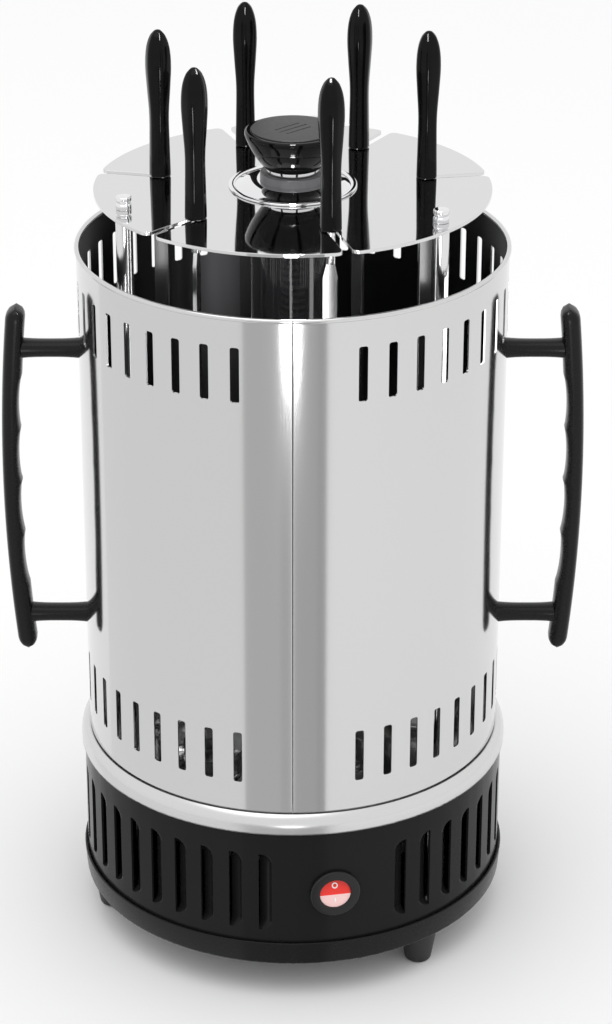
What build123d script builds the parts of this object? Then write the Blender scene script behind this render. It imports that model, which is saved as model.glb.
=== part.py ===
"""Electric skewer grill with a lift-off casing and turning skewers.

Millimetres, +Z up, the front towards -Y. The origin is the middle of the round
base on the surface it stands on. Angles are counted from +X towards +Y, so the
front is at 270 degrees.
"""

from build123d import *
import math
import os

# Heights of the stack, from the table up
FOOT_H = 18.3
PAN_H = 12.1
PAN_GROOVE = 3.5  # how deep the wall sits below the pan's lip
WALL_H = 62.4
RING_H = 10.7
CASING_H = 246.0
PLATE_RISE = 26.6  # from the casing's rim to the top of the plate
HANDLE_H = 69.5  # a skewer's handle above the plate
DECK_RISE = 1.5  # above the ring's lower edge

# Radii and sheet thicknesses of the shells. What stands proud of the casing, or in
# from it, is counted from it, so that the stack keeps together.
CASING_R = 100.0
CASING_T = 0.8
RIM_BEAD_R = 1.5
FOLD_W = 5.8  # each seam's folded edge, inside
FOLD_END = 6.0  # from the casing's lower edge to the fold
SEAM_W = 1.0  # the groove that shows outside
RING_PROUD = 4.3
RING_LEDGE = 0.9  # beyond the casing
RING_SIDE_H = 3.0  # upright part of its outer side
RING_BULGE = 0.95
RING_EDGE = 1.2
SPIGOT_GAP = 0.5  # inside the casing
SPIGOT_H = 4.0
SPIGOT_T = 1.3
DECK_LEDGE = 4.0  # width of the ring's ledge under the deck
DECK_T = 1.2
WALL_INSET = 0.5
WALL_T = 1.2
PAN_PROUD = 3.6  # beyond the wall
PAN_LIP_PROUD = 2.8  # beyond the pan's side
PAN_LIP_T = 1.8
PAN_EDGE = 1.0
PAN_T = 2.5
PAN_RIB_T = 1.6  # the rib inside the wall's groove
PLATE_INSET = 8.8
PLATE_T = 1.6
GEAR_PLATE_INSET = 4.3  # inside the wall
GEAR_PLATE_T = 1.5

# Clearances
SEAT_GAP = 0.3  # between moving pieces that rest on each other
RUN_GAP = 0.05  # round a shaft, on the radius
SLIP_GAP = 0.1  # between fixed pieces that slide together
FIT_GAP = 0.02  # between fixed pieces that hold each other
CUT = 1.0  # how far a cutting tool runs past a face

# Skewer stations, and the gear train that turns them
STATION_ANGLES = (10.0, 60.0, 111.0, 168.0, 226.5, 285.5)
STATION_R = 62.5
SUN_TEETH = 26
STATION_TEETH = 14
PINION_TEETH = 10
PINION_ANGLE = 327.75
PRESSURE_ANGLE = 20.0
BACKLASH = 0.35
ADDENDUM = 0.65  # of the module
DEDENDUM = 0.9
GEAR_T = 8.0
GEAR_PLATE_RISE = 49.2  # above the pan's floor
SUN_BORE_R = 12.0
HUB_WALL = 3.0
SPINDLE_R = 7.0
HUB_FLANGE = 4.0
GEAR_LIFT = 1.0  # above the gear plate
SUN_WINDOW_R = 6.5
SUN_WINDOW_STATION_R = 25.0
SUN_WINDOWS = 6
SPINDLE_RISE = 20.0  # above the deck
PIVOT_R = 4.0
PIVOT_END = 1.5  # below the gear plate
SOCKET_DEPTH = 10.3
BUSH_WALL = 1.5
BUSH_FLANGE = 2.0
BUSH_FLANGE_T = 1.2
MOTOR_CLEAR = 1.05  # from the nearest tie rod
MOTOR_H = 21.0
MOTOR_EAR = (14.0, 9.0, 3.0)  # both ears' length, their width and thickness
MOTOR_SHAFT_R = 3.0
MOTOR_SHAFT_L = 7.7  # inside the motor
MOTOR_BOSS = 2.5
PINION_BOSS = 3.0
PILLAR_R = 3.5
PILLAR_ANGLES = (36.0, 140.0, 256.0)
PILLAR_INSET = 7.8  # from the deck's edge

# Skewers
LIFT = 12.0
SHANK_R = 2.1
BLADE_W = 6.5
BLADE_T = 1.8
BLADE_TAPER = 8.0
TIP_L = 4.0
TANG_L = 40.0
POINT_R = 0.6
BLADE_NECK = 0.7  # half width of the blade's ends, as a share of the shank's radius
SKEWER_TURNS = (20.0, 75.0, 40.0, 0.0, 28.0, 60.0)  # how far each stands turned
# half width of the handle at shares of its height
HANDLE_SHAPE = (
    (0.0, 5.0), (0.2, 4.75), (0.42, 4.6), (0.62, 5.5), (0.76, 6.0), (0.88, 5.4), (0.96, 3.6), (1.0, 1.2),
)
HANDLE_CORNER = 0.3  # chamfer of its six corners, as a share of the half width
HEX_SPREAD = 1.08  # corner radius of the hexagon over its half width

# Supports of the plate
POST_ANGLES = (83.0, 203.0, 323.0)
POST_INSET = 8.9  # from the plate's edge
POST_R = 3.9
POST_BORE_R = 2.4
ROD_R = 2.0
THUMB_NUT_R = 3.6
THUMB_NUT_H = 6.0
THUMB_NUT_EDGE = 0.7
THUMB_NUT_WAIST = 0.9
THUMB_NUT_ROOF = 0.8
HEX_HEAD_R = 4.0
HEX_HEAD_H = 3.2
HEX_HEAD_SINK = 1.0  # above the pan's underside
COUNTERBORE_GAP = 0.8
BOSS_R = 7.0
BOSS_H = 6.0
PAN_VENT = (24.0, 3.5)
PAN_VENTS = 12
PAN_VENT_STATION_R = 50.0

# Heater
TUBE_R = 15.0
TUBE_T = 1.6
CORE_R = 6.0
COIL_T = 1.5
SOCKET_R = 18.5
SOCKET_H = 16.0
SOCKET_FLOOR = 4.0
CORE_WALL = 2.0
COIL_CLEAR = (6.0, 4.0)  # above the socket and below the casing's rim
CAP_R = 16.8
CAP_H = 14.0
CAP_T = 1.2
TUBE_END = 2.0  # below the plate

# Drip cups
CUP_R = 22.0
CUP_H = 16.0
CUP_T = 0.8
CUP_SLOPE = (3.0, 4.0)  # width and height of its sloping lower edge
CHIMNEY_GAP = 0.3
CHIMNEY_DROP = 1.0  # below the cup's edge

# Knob, heights above the plate
KNOB_H = 24.0
KNOB_R = 22.0
KNOB_FOOT_R = 13.0
KNOB_FOOT_Z = 9.3
COLLAR_R = 15.0
COLLAR_Z = 7.0
FLANGE_R = 28.3
FLANGE_H = 3.2
FLANGE_EDGE = 0.5
FLANGE_BULGE = 0.45
FLANGE_LAP = 1.0  # of the collar over the dome
NECK_INSET = 0.6
KNOB_BULGE = 0.95
KNOB_EDGE = 2.0
INLAY_INSET = 3.0
INLAY_T = 1.5
INLAY_DOME = 0.5
INLAY_EDGE = 0.5
GROOVE = (15.0, 0.9, 1.2)
GROOVE_PITCH = 3.0
GROOVE_TURN = 35.0
STUD_R = 2.5
STUD_L = 8.0  # above the knob's foot
BORE_L = 9.0

# Slots and louvres, angles from the front towards +X
SLOT_W = 4.4
SLOT_MOUTH_R = 3.0
VENT_W = 4.2
VENT_H = 26.0
VENT_EDGE = 14.5  # from the casing's lower and upper edges to the rows
VENT_COUNT = 19
VENT_FIRST = 16.0
VENT_PITCH = 8.2
LOUVRE_W = 6.0
LOUVRE_H = 41.0
LOUVRE_DEPTH = 3.4
LOUVRE_CORNER = 1.8
LOUVRE_TOP = 11.3  # below the ring
LOUVRE_PITCH = 7.8
LOUVRE_LEFT_FIRST = -15.6
LOUVRE_LEFT_COUNT = 19
LOUVRE_RIGHT_FIRST = 33.6
LOUVRE_RIGHT_COUNT = 17

# Side handles
GRIP_END_X = 129.0
GRIP_MID_X = 133.6
GRIP_LOW = 36.6  # above the casing's lower edge
GRIP_HIGH = 213.0
GRIP_T = 9.2
GRIP_W = 14.0
GRIP_EDGE = 2.0
GRIP_END = 4.6  # length over which each end narrows
GRIP_END_T = 4.6
ARM_LOW = 54.0
ARM_HIGH = 192.5
ARM_H = 7.5
ARM_W = 10.0
ARM_EDGE = 1.6
ARM_LAP = 4.0  # into the grip
FINGER_PITCH = 27.0
FINGER_COUNT = 4
FINGER_DEPTH = 1.3
SCREW_R = 2.0
SCREW_HEAD_R = 3.8
SCREW_HEAD_H = 1.8
SCREW_L = 14.0
PILOT = 0.4  # a screw's pilot hole is this much less in radius
SMALL_SCREW_R = 1.5
SMALL_SCREW_L = 9.0
SMALL_HEAD_R = 3.0

# Rocker switch
SWITCH_AZ = 11.1
SWITCH_DROP = 32.4  # its centre below the ring
SWITCH_R = 12.0
SWITCH_FLANGE_T = 2.2
SWITCH_EDGE = 1.0
BARREL_R = 10.0
BARREL_L = 16.0
ROCKER_R = 8.9
ROCKER_GAP = 0.2
ROCKER_DEPTH = 4.5  # below its axle
ROCKER_AXLE_R = 1.2
ROCKER_AXLE_SINK = 1.5  # inside the wall's face
ROCKER_AXLE_END = 0.5  # from the barrel's outside
WELL_DEPTH = 10.0
SWITCH_TAB = (5.0, 0.8, 8.0)
SWITCH_TAB_Y = 5.0
ROCKER_LOW_ANGLE = 10.0  # each half of the rocker slopes back from its ridge
ROCKER_RIDGE = 2.4
ROCKER_TILT = 10.0  # how far it is tipped at rest, and back the other way

# Feet and inlet
FOOT_ANGLES = (71.5, 191.5, 311.5)
FOOT_INSET = 11.1  # from the pan's side
FOOT_TOP_R = 9.3
FOOT_END_R = 6.2
FOOT_ROUND = 2.0
INLET_R = 6.0
INLET_FLANGE_R = 8.5
INLET_BORE_R = 3.6
INLET_PROUD = 4.0
INLET_BACK = 4.5
TERMINAL_BLOCK = (34.0, 14.0, 14.0)
TERMINAL_PLACE = (-38.0, 14.0)
WIRE_HOLE_R = 2.0
WIRE_HOLE_PITCH = 11.0

# Levels worked out from the stack
PAN_Z = FOOT_H
PAN_FLOOR = PAN_Z + PAN_T
PAN_TOP = PAN_Z + PAN_H
WALL_Z = PAN_TOP - PAN_GROOVE
RING_Z = WALL_Z + WALL_H
CASING_Z = RING_Z + RING_H
RIM_Z = CASING_Z + CASING_H
PLATE_TOP = RIM_Z + PLATE_RISE
PLATE_Z = PLATE_TOP - PLATE_T
DECK_Z = RING_Z + DECK_RISE
DECK_TOP = DECK_Z + DECK_T
GEAR_PLATE_Z = PAN_FLOOR + GEAR_PLATE_RISE
GEAR_PLATE_TOP = GEAR_PLATE_Z + GEAR_PLATE_T
GEAR_Z = GEAR_PLATE_TOP + GEAR_LIFT
GEAR_TOP = GEAR_Z + GEAR_T
SPINDLE_TOP = DECK_TOP + SPINDLE_RISE
SWITCH_Z = RING_Z - SWITCH_DROP

# Radii worked out from the casing
CASING_IN_R = CASING_R - CASING_T
RING_R = CASING_R + RING_PROUD
SPIGOT_R = CASING_IN_R - SPIGOT_GAP
DECK_R = SPIGOT_R - SPIGOT_T - SLIP_GAP
WALL_R = CASING_R - WALL_INSET
WALL_IN_R = WALL_R - WALL_T
PAN_R = WALL_R + PAN_PROUD
PAN_LIP_R = PAN_R + PAN_LIP_PROUD
PLATE_R = CASING_R - PLATE_INSET
POST_STATION_R = PLATE_R - POST_INSET
PILLAR_STATION_R = DECK_R - PILLAR_INSET
FOOT_STATION_R = PAN_R - FOOT_INSET
GEAR_PLATE_R = WALL_IN_R - GEAR_PLATE_INSET

# Gear train worked out from the stations
MODULE = 2 * STATION_R / (SUN_TEETH + STATION_TEETH)
PINION_STATION_R = MODULE * (SUN_TEETH + PINION_TEETH) / 2
MOTOR_R = POST_STATION_R - ROD_R - MOTOR_CLEAR - PINION_STATION_R
HUB_BORE_R = SUN_BORE_R - HUB_WALL
BUSH_BORE_R = SPINDLE_R + RUN_GAP
FRONT = 270.0


def turned(points):
    """Spin a closed outline of (radius, height) corners round the upright axis."""
    outline = Polyline(*[(r, 0, z) for r, z in points], close=True)
    return revolve(make_face(outline), Axis.Z)


def bowed(start, end, bulge, steps=4):
    """List the corners of a shallow curve between two points, bulging to its right."""
    (r0, z0), (r1, z1) = start, end
    length = math.hypot(r1 - r0, z1 - z0)
    corners = []
    for k in range(steps + 1):
        t = k / steps
        out = 4 * bulge * t * (1 - t) / length
        corners.append((r0 + (r1 - r0) * t + (z1 - z0) * out, z0 + (z1 - z0) * t - (r1 - r0) * out))
    return corners


def rod(radius, low, high, bore=0.0):
    """Make an upright round bar or tube between two heights."""
    bar = Pos(0, 0, (low + high) / 2) * Cylinder(radius, high - low)
    if bore:
        bar -= hole(bore, low, high)
    return bar


def hole(radius, low, high):
    """Make the tool for a round hole that opens at both heights."""
    return Pos(0, 0, (low + high) / 2) * Cylinder(radius, high - low + 2 * CUT)


def station(angle, radius):
    """Return the place at an angle and a radius, turned to face outwards."""
    return Rot(0, 0, angle) * Pos(radius, 0, 0)


def ring_of(piece, angles, radius):
    """Repeat a piece at the same radius, as a list."""
    return [station(angle, radius) * piece for angle in angles]


def evenly(count):
    """List the angles of a full ring of like pieces."""
    return [360 / count * k for k in range(count)]


def group(pieces):
    """Keep like pieces as separate solids of one sub-part."""
    return Compound(children=[Solid(piece.solid().wrapped) for piece in pieces])


# ---- base ----


def base_pan():
    """Moulded tray with a lip round the wall's groove and bosses for the rods."""
    rib_r = WALL_IN_R - SLIP_GAP
    lip_in_r = PAN_LIP_R - PAN_LIP_T
    pan = turned([
        (0, PAN_Z), (PAN_R - PAN_EDGE, PAN_Z), (PAN_R, PAN_Z + PAN_EDGE), (PAN_LIP_R, PAN_TOP - PAN_EDGE),
        (PAN_LIP_R - PAN_EDGE, PAN_TOP), (lip_in_r, PAN_TOP), (lip_in_r, WALL_Z),
        (rib_r, WALL_Z), (rib_r, PAN_TOP), (rib_r - PAN_RIB_T, PAN_TOP),
        (rib_r - PAN_RIB_T, PAN_FLOOR), (0, PAN_FLOOR),
    ])
    pan += ring_of(rod(BOSS_R, PAN_FLOOR - CUT, PAN_FLOOR + BOSS_H), POST_ANGLES, POST_STATION_R)
    pan -= ring_of(hole(ROD_R + SLIP_GAP, PAN_Z, PAN_FLOOR + BOSS_H), POST_ANGLES, POST_STATION_R)
    counterbore = rod(HEX_HEAD_R + COUNTERBORE_GAP, 0, PAN_Z + HEX_HEAD_SINK + HEX_HEAD_H)
    pan -= ring_of(counterbore, POST_ANGLES, POST_STATION_R)
    pan -= ring_of(hole(SCREW_R - PILOT, PAN_Z, PAN_FLOOR), FOOT_ANGLES, FOOT_STATION_R)
    vent = Pos(0, 0, PAN_Z + PAN_T / 2) * Box(*PAN_VENT, PAN_T + 2 * CUT)
    return pan - ring_of(vent, evenly(PAN_VENTS), PAN_VENT_STATION_R)


def louvre_tools():
    """Make the sheet pressed inwards and the hollow in front of it, slit at y = 0.

    The leaf starts flush with the wall at y = -LOUVRE_W and ends LOUVRE_DEPTH
    behind it, where it stands open to the inside.
    """
    high = RING_Z - LOUVRE_TOP
    low = high - LOUVRE_H
    flush_x = math.sqrt(WALL_R**2 - LOUVRE_W**2)
    leaf = Polyline(
        (flush_x - WALL_T / 2, -LOUVRE_W - WALL_T), (WALL_R - WALL_T / 2, 0),
        (WALL_R - LOUVRE_DEPTH - WALL_T, 0), (flush_x - WALL_T, -LOUVRE_W - WALL_T),
        close=True,
    )
    leaf = Pos(0, 0, low - WALL_T) * extrude(make_face(leaf), LOUVRE_H + 2 * WALL_T)
    hollow = Polyline(
        (WALL_R + CUT, -LOUVRE_W), (WALL_R + CUT, 0), (WALL_R - LOUVRE_DEPTH, 0),
        (flush_x, -LOUVRE_W), close=True,
    )
    hollow = Pos(0, 0, low) * extrude(make_face(hollow), LOUVRE_H)
    frame = Rectangle(2 * LOUVRE_W, LOUVRE_H)
    window = Plane.YZ * chamfer(frame.vertices(), LOUVRE_CORNER)
    window = Pos(WALL_R, 0, (low + high) / 2) * extrude(window, LOUVRE_DEPTH + 2 * CUT, both=True)
    return leaf, hollow & window


def base_wall():
    """Enamelled sheet drum with inward louvres, open away from the front."""
    wall = rod(WALL_R, WALL_Z, RING_Z, WALL_IN_R)
    leaf, hollow = louvre_tools()
    right = [FRONT + LOUVRE_RIGHT_FIRST + LOUVRE_PITCH * k for k in range(LOUVRE_RIGHT_COUNT)]
    left = [FRONT + LOUVRE_LEFT_FIRST - LOUVRE_PITCH * k for k in range(LOUVRE_LEFT_COUNT)]
    leaves = [Rot(0, 0, a) * leaf for a in right]
    leaves += [Rot(0, 0, a) * mirror(leaf, Plane.XZ) for a in left]
    hollows = [Rot(0, 0, a) * hollow for a in right]
    hollows += [Rot(0, 0, a) * mirror(hollow, Plane.XZ) for a in left]
    wall = (wall + leaves) - hollows
    reach = 2 * (SWITCH_R + CUT)
    wall -= switch_place() * Cylinder(BARREL_R + SLIP_GAP, reach)
    return wall - inlet_place() * Cylinder(INLET_R + SLIP_GAP, reach)


def trim_ring():
    """Spun ring that carries the deck inside and the casing's edge on top."""
    ledge = CASING_Z - SEAT_GAP
    seat_r = DECK_R + SLIP_GAP
    side_top = (RING_R, RING_Z + RING_SIDE_H)
    return turned([
        (RING_R - RING_EDGE, RING_Z), (RING_R, RING_Z + RING_EDGE),
        *bowed(side_top, (CASING_R + RING_LEDGE, ledge), RING_BULGE),
        (SPIGOT_R, ledge), (SPIGOT_R, ledge + SPIGOT_H), (seat_r, ledge + SPIGOT_H),
        (seat_r, DECK_Z), (DECK_R - DECK_LEDGE, DECK_Z), (DECK_R - DECK_LEDGE, RING_Z),
    ])


def deck():
    """Round steel floor of the cooking space, with its bush and rod holes."""
    disc = rod(DECK_R, DECK_Z, DECK_TOP, HUB_BORE_R)
    disc -= ring_of(hole(BUSH_BORE_R + BUSH_WALL, DECK_Z, DECK_TOP), STATION_ANGLES, STATION_R)
    disc -= ring_of(hole(ROD_R + SLIP_GAP, DECK_Z, DECK_TOP), POST_ANGLES, POST_STATION_R)
    return disc - ring_of(hole(SCREW_R - PILOT, DECK_Z, DECK_TOP), PILLAR_ANGLES, PILLAR_STATION_R)


def feet():
    """Three tapered feet, each with a blind hole for its screw."""
    foot = turned([
        (0, 0), (FOOT_END_R - FOOT_ROUND, 0), (FOOT_END_R, FOOT_ROUND), (FOOT_TOP_R, PAN_Z), (0, PAN_Z),
    ])
    foot -= rod(SCREW_R - PILOT, PAN_Z - SMALL_SCREW_L - CUT, PAN_Z + CUT)
    return group(ring_of(foot, FOOT_ANGLES, FOOT_STATION_R))


def inlet_place():
    """Return the rear hole's place, its axis pointing out of the wall."""
    middle = (WALL_Z + RING_Z) / 2
    return Rot(0, 0, FRONT + 180) * Pos(WALL_R, 0, middle) * Rot(0, 90, 0)


def cord_inlet():
    """Rubber bush in the rear of the wall, where a cord goes in."""
    bush = Pos(0, 0, INLET_PROUD / 2) * Cone(INLET_FLANGE_R, INLET_R, INLET_PROUD)
    flat = math.sqrt(WALL_R**2 - INLET_FLANGE_R**2) - WALL_R
    bush -= Pos(0, 0, flat / 2) * Cylinder(INLET_FLANGE_R + CUT, -flat)
    bush += Pos(0, 0, -INLET_BACK / 2 + CUT / 2) * Cylinder(INLET_R, INLET_BACK + CUT)
    bush -= Cylinder(INLET_BORE_R, 2 * (INLET_BACK + INLET_PROUD))
    return inlet_place() * bush


# ---- gear train ----


def half_tooth_angle(radius, teeth):
    """Give half the angle of an involute tooth at a radius, in radians."""
    pitch_r = MODULE * teeth / 2
    base_r = pitch_r * math.cos(math.radians(PRESSURE_ANGLE))
    slope = math.radians(PRESSURE_ANGLE)
    at_pitch = (math.pi * MODULE / 2 - BACKLASH) / (2 * pitch_r)
    turn = math.acos(base_r / max(radius, base_r))
    return at_pitch + (math.tan(slope) - slope) - (math.tan(turn) - turn)


def gear_blank(teeth, phase):
    """Make a spur gear with one tooth centred at the phase angle."""
    pitch_r = MODULE * teeth / 2
    flank = [pitch_r - DEDENDUM * MODULE, pitch_r, pitch_r + ADDENDUM * MODULE]
    corners = []
    for k in range(teeth):
        middle = math.radians(phase) + 2 * math.pi * k / teeth
        rising = [(r, middle - half_tooth_angle(r, teeth)) for r in flank]
        falling = [(r, middle + half_tooth_angle(r, teeth)) for r in reversed(flank)]
        corners += [(r * math.cos(a), r * math.sin(a)) for r, a in rising + falling]
    outline = make_face(Polyline(*corners, close=True))
    return Pos(0, 0, GEAR_Z) * extrude(outline, GEAR_T)


def mesh_phase(angle, teeth):
    """Give the tooth phase that puts a gap opposite the sun gear's tooth."""
    return angle + 180 - 180 / teeth + angle * SUN_TEETH / teeth


def sun_gear():
    """Large central gear that turns all six stations."""
    gear = gear_blank(SUN_TEETH, 0) - hole(SUN_BORE_R, GEAR_Z, GEAR_TOP)
    window = hole(SUN_WINDOW_R, GEAR_Z, GEAR_TOP)
    return gear - ring_of(window, evenly(SUN_WINDOWS), SUN_WINDOW_STATION_R)


def centre_hub():
    """Fixed tube that the sun gear runs on and the heater's wires pass up through."""
    hub = rod(SUN_BORE_R - RUN_GAP, GEAR_PLATE_TOP, DECK_Z, HUB_BORE_R)
    return hub + rod(SUN_BORE_R + HUB_FLANGE, GEAR_PLATE_TOP, GEAR_Z - SEAT_GAP, HUB_BORE_R)


def station_gear(angle):
    """One driven gear, its pivot below and its spindle with a blind socket above."""
    gear = gear_blank(STATION_TEETH, mesh_phase(angle, STATION_TEETH))
    gear += rod(SPINDLE_R, GEAR_PLATE_TOP + SEAT_GAP, SPINDLE_TOP)
    gear += rod(PIVOT_R, GEAR_PLATE_Z - PIVOT_END, GEAR_Z)
    gear -= rod(SHANK_R + RUN_GAP, SPINDLE_TOP - SOCKET_DEPTH, SPINDLE_TOP + CUT)
    return station(angle, STATION_R) * Rot(0, 0, -angle) * gear


def station_bushes():
    """Flanged bushes in the deck, one round each spindle."""
    bush = rod(BUSH_BORE_R + BUSH_WALL - FIT_GAP, DECK_Z, DECK_TOP + BUSH_FLANGE_T, BUSH_BORE_R)
    flange_r = BUSH_BORE_R + BUSH_WALL + BUSH_FLANGE
    bush += rod(flange_r, DECK_Z - BUSH_FLANGE_T, DECK_Z, BUSH_BORE_R)
    return group(ring_of(bush, STATION_ANGLES, STATION_R))


def gear_frame():
    """Moulded lower plate of the gear train, hung from the deck on three pillars."""
    plate = rod(GEAR_PLATE_R, GEAR_PLATE_Z, GEAR_PLATE_TOP, HUB_BORE_R)
    low, high = GEAR_PLATE_Z, GEAR_PLATE_TOP
    plate -= ring_of(hole(PIVOT_R + RUN_GAP, low, high), STATION_ANGLES, STATION_R)
    plate -= ring_of(hole(ROD_R + SLIP_GAP, low, high), POST_ANGLES, POST_STATION_R)
    plate -= station(PINION_ANGLE, PINION_STATION_R) * hole(MOTOR_SHAFT_R + PINION_BOSS, low, high)
    plate += ring_of(rod(PILLAR_R, low, DECK_Z), PILLAR_ANGLES, PILLAR_STATION_R)
    return plate - ring_of(hole(SCREW_R - PILOT, low, DECK_Z), PILLAR_ANGLES, PILLAR_STATION_R)


def base_screws():
    """Like screws: through the pan into the feet, and into both ends of the pillars."""
    screw = rod(SMALL_SCREW_R, -SMALL_SCREW_L, CUT) + rod(SMALL_HEAD_R, 0, SCREW_HEAD_H)
    low = Pos(0, 0, GEAR_PLATE_Z) * Rot(180, 0, 0) * screw
    screws = ring_of(Pos(0, 0, PAN_FLOOR) * screw, FOOT_ANGLES, FOOT_STATION_R)
    screws += ring_of(low, PILLAR_ANGLES, PILLAR_STATION_R)
    return group(screws + ring_of(Pos(0, 0, DECK_TOP) * screw, PILLAR_ANGLES, PILLAR_STATION_R))


def motor():
    """Slow geared motor hung under the gear plate by two ears."""
    can = rod(MOTOR_R, GEAR_PLATE_Z - MOTOR_H, GEAR_PLATE_Z)
    ear_l, ear_w, ear_t = MOTOR_EAR
    can += Pos(0, 0, GEAR_PLATE_Z - ear_t / 2) * Box(ear_w, 2 * MOTOR_R + ear_l, ear_t)
    can += rod(MOTOR_SHAFT_R + MOTOR_BOSS, GEAR_PLATE_Z - CUT, GEAR_PLATE_TOP)
    bore_end = GEAR_PLATE_TOP - MOTOR_SHAFT_L - SEAT_GAP
    can -= rod(MOTOR_SHAFT_R + RUN_GAP, bore_end, GEAR_PLATE_TOP + CUT)
    return station(PINION_ANGLE, PINION_STATION_R) * can


def motor_pinion():
    """Pinion and shaft that drive the sun gear from the wide gap in the ring."""
    pinion = gear_blank(PINION_TEETH, mesh_phase(PINION_ANGLE, PINION_TEETH))
    pinion += rod(MOTOR_SHAFT_R + PINION_BOSS, GEAR_PLATE_TOP + SEAT_GAP, GEAR_Z)
    pinion += rod(MOTOR_SHAFT_R, GEAR_PLATE_TOP - MOTOR_SHAFT_L, GEAR_Z)
    return station(PINION_ANGLE, PINION_STATION_R) * Rot(0, 0, -PINION_ANGLE) * pinion


def terminal_block():
    """Ceramic terminal block on the pan's floor, with its wire holes."""
    length, width, height = TERMINAL_BLOCK
    block = Pos(0, 0, PAN_FLOOR + height / 2) * Box(length, width, height)
    bore = Pos(0, 0, PAN_FLOOR + height / 2) * Rot(90, 0, 0) * Cylinder(WIRE_HOLE_R, width + 2 * CUT)
    block -= [Pos(k * WIRE_HOLE_PITCH, 0, 0) * bore for k in (-1, 0, 1)]
    return Pos(*TERMINAL_PLACE, 0) * block


# ---- cooking space ----


def drip_cup(angle):
    """Round cup for fat, with a chimney that clears the spindle."""
    chimney = BUSH_BORE_R + BUSH_WALL + CHIMNEY_GAP
    edge, chimney_top = DECK_TOP + CUP_H, DECK_TOP + CUP_H - CHIMNEY_DROP
    run, rise = CUP_SLOPE
    floor = DECK_TOP + CUP_T
    cup = turned([
        (chimney, DECK_TOP), (CUP_R - run, DECK_TOP), (CUP_R, DECK_TOP + rise), (CUP_R, edge),
        (CUP_R - CUP_T, edge), (CUP_R - CUP_T, DECK_TOP + rise), (CUP_R - CUP_T - run, floor),
        (chimney + CUP_T, floor), (chimney + CUP_T, chimney_top), (chimney, chimney_top),
    ])
    return station(angle, STATION_R) * cup


def posts():
    """Three steel tubes between the deck and the plate."""
    tube = rod(POST_R, DECK_TOP, PLATE_Z, POST_BORE_R)
    return group(ring_of(tube, POST_ANGLES, POST_STATION_R))


def tie_rods():
    """Long bolts, heads in the pan's counterbores, through the posts to the thumb nuts."""
    foot = PAN_Z + HEX_HEAD_SINK
    bar = rod(ROD_R, foot, PLATE_TOP + THUMB_NUT_H - THUMB_NUT_ROOF - FIT_GAP)
    bar += Pos(0, 0, foot) * extrude(RegularPolygon(HEX_HEAD_R, 6), HEX_HEAD_H)
    return group(ring_of(bar, POST_ANGLES, POST_STATION_R))


def thumb_nuts():
    """Thumb nuts on the plate, each with a waist and a closed top."""
    r, z, top = THUMB_NUT_R, PLATE_TOP, PLATE_TOP + THUMB_NUT_H
    bore_r, middle = ROD_R + FIT_GAP, PLATE_TOP + THUMB_NUT_H / 2
    nut = turned([
        (bore_r, z), (r, z), (r, middle - THUMB_NUT_WAIST), (r - THUMB_NUT_WAIST, middle),
        (r, middle + THUMB_NUT_WAIST), (r, top - THUMB_NUT_EDGE), (r - THUMB_NUT_EDGE, top),
        (0, top), (0, top - THUMB_NUT_ROOF), (bore_r, top - THUMB_NUT_ROOF),
    ])
    return group(ring_of(nut, POST_ANGLES, POST_STATION_R))


def top_plate():
    """Mirror disc with a slot for each skewer, open to its edge."""
    face = Circle(PLATE_R) - Circle(STUD_R + SLIP_GAP)
    reach = PLATE_R + CUT - STATION_R
    slot = Pos(reach / 2, 0) * Rectangle(reach, SLOT_W) + Circle(SLOT_W / 2)
    face -= [station(angle, STATION_R) * slot for angle in STATION_ANGLES]
    mouths = [v for v in face.vertices() if abs(math.hypot(v.X, v.Y) - PLATE_R) < FIT_GAP
              and min(abs(math.degrees(math.atan2(v.Y, v.X)) % 360 - a) for a in STATION_ANGLES) < SLOT_W]
    face = fillet(mouths, SLOT_MOUTH_R)
    face -= [station(angle, POST_STATION_R) * Circle(ROD_R + SLIP_GAP) for angle in POST_ANGLES]
    return Pos(0, 0, PLATE_Z) * extrude(face, PLATE_T)


def heater_socket():
    """Ceramic cup that holds the heater's glass on the deck."""
    cup = rod(SOCKET_R, DECK_TOP, DECK_TOP + SOCKET_H, CORE_R - CORE_WALL)
    return cup - rod(TUBE_R + SLIP_GAP, DECK_TOP + SOCKET_FLOOR, DECK_TOP + SOCKET_H + CUT)


def heater_core():
    """Ceramic rod that carries the winding."""
    return rod(CORE_R, DECK_TOP + SOCKET_FLOOR, PLATE_Z - CAP_H, CORE_R - CORE_WALL)


def heater_coil():
    """Outer shape of the wire wound on the core."""
    above, below = COIL_CLEAR
    low, high = DECK_TOP + SOCKET_H + above, RIM_Z - below
    return rod(CORE_R + FIT_GAP + COIL_T, low, high, CORE_R + FIT_GAP)


def heater_tube():
    """Quartz tube round the winding."""
    return rod(TUBE_R, DECK_TOP + SOCKET_FLOOR, PLATE_Z - TUBE_END, TUBE_R - TUBE_T)


def heater_cap():
    """Steel cap over the tube's top, with the stud that the knob screws down on."""
    cap = rod(CAP_R, PLATE_Z - CAP_H, PLATE_Z, TUBE_R + SLIP_GAP)
    cap += rod(CAP_R, PLATE_Z - CAP_T, PLATE_Z)
    return cap + rod(STUD_R, PLATE_Z - CAP_T / 2, PLATE_TOP + KNOB_FOOT_Z + STUD_L)


# ---- skewers ----


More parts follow.
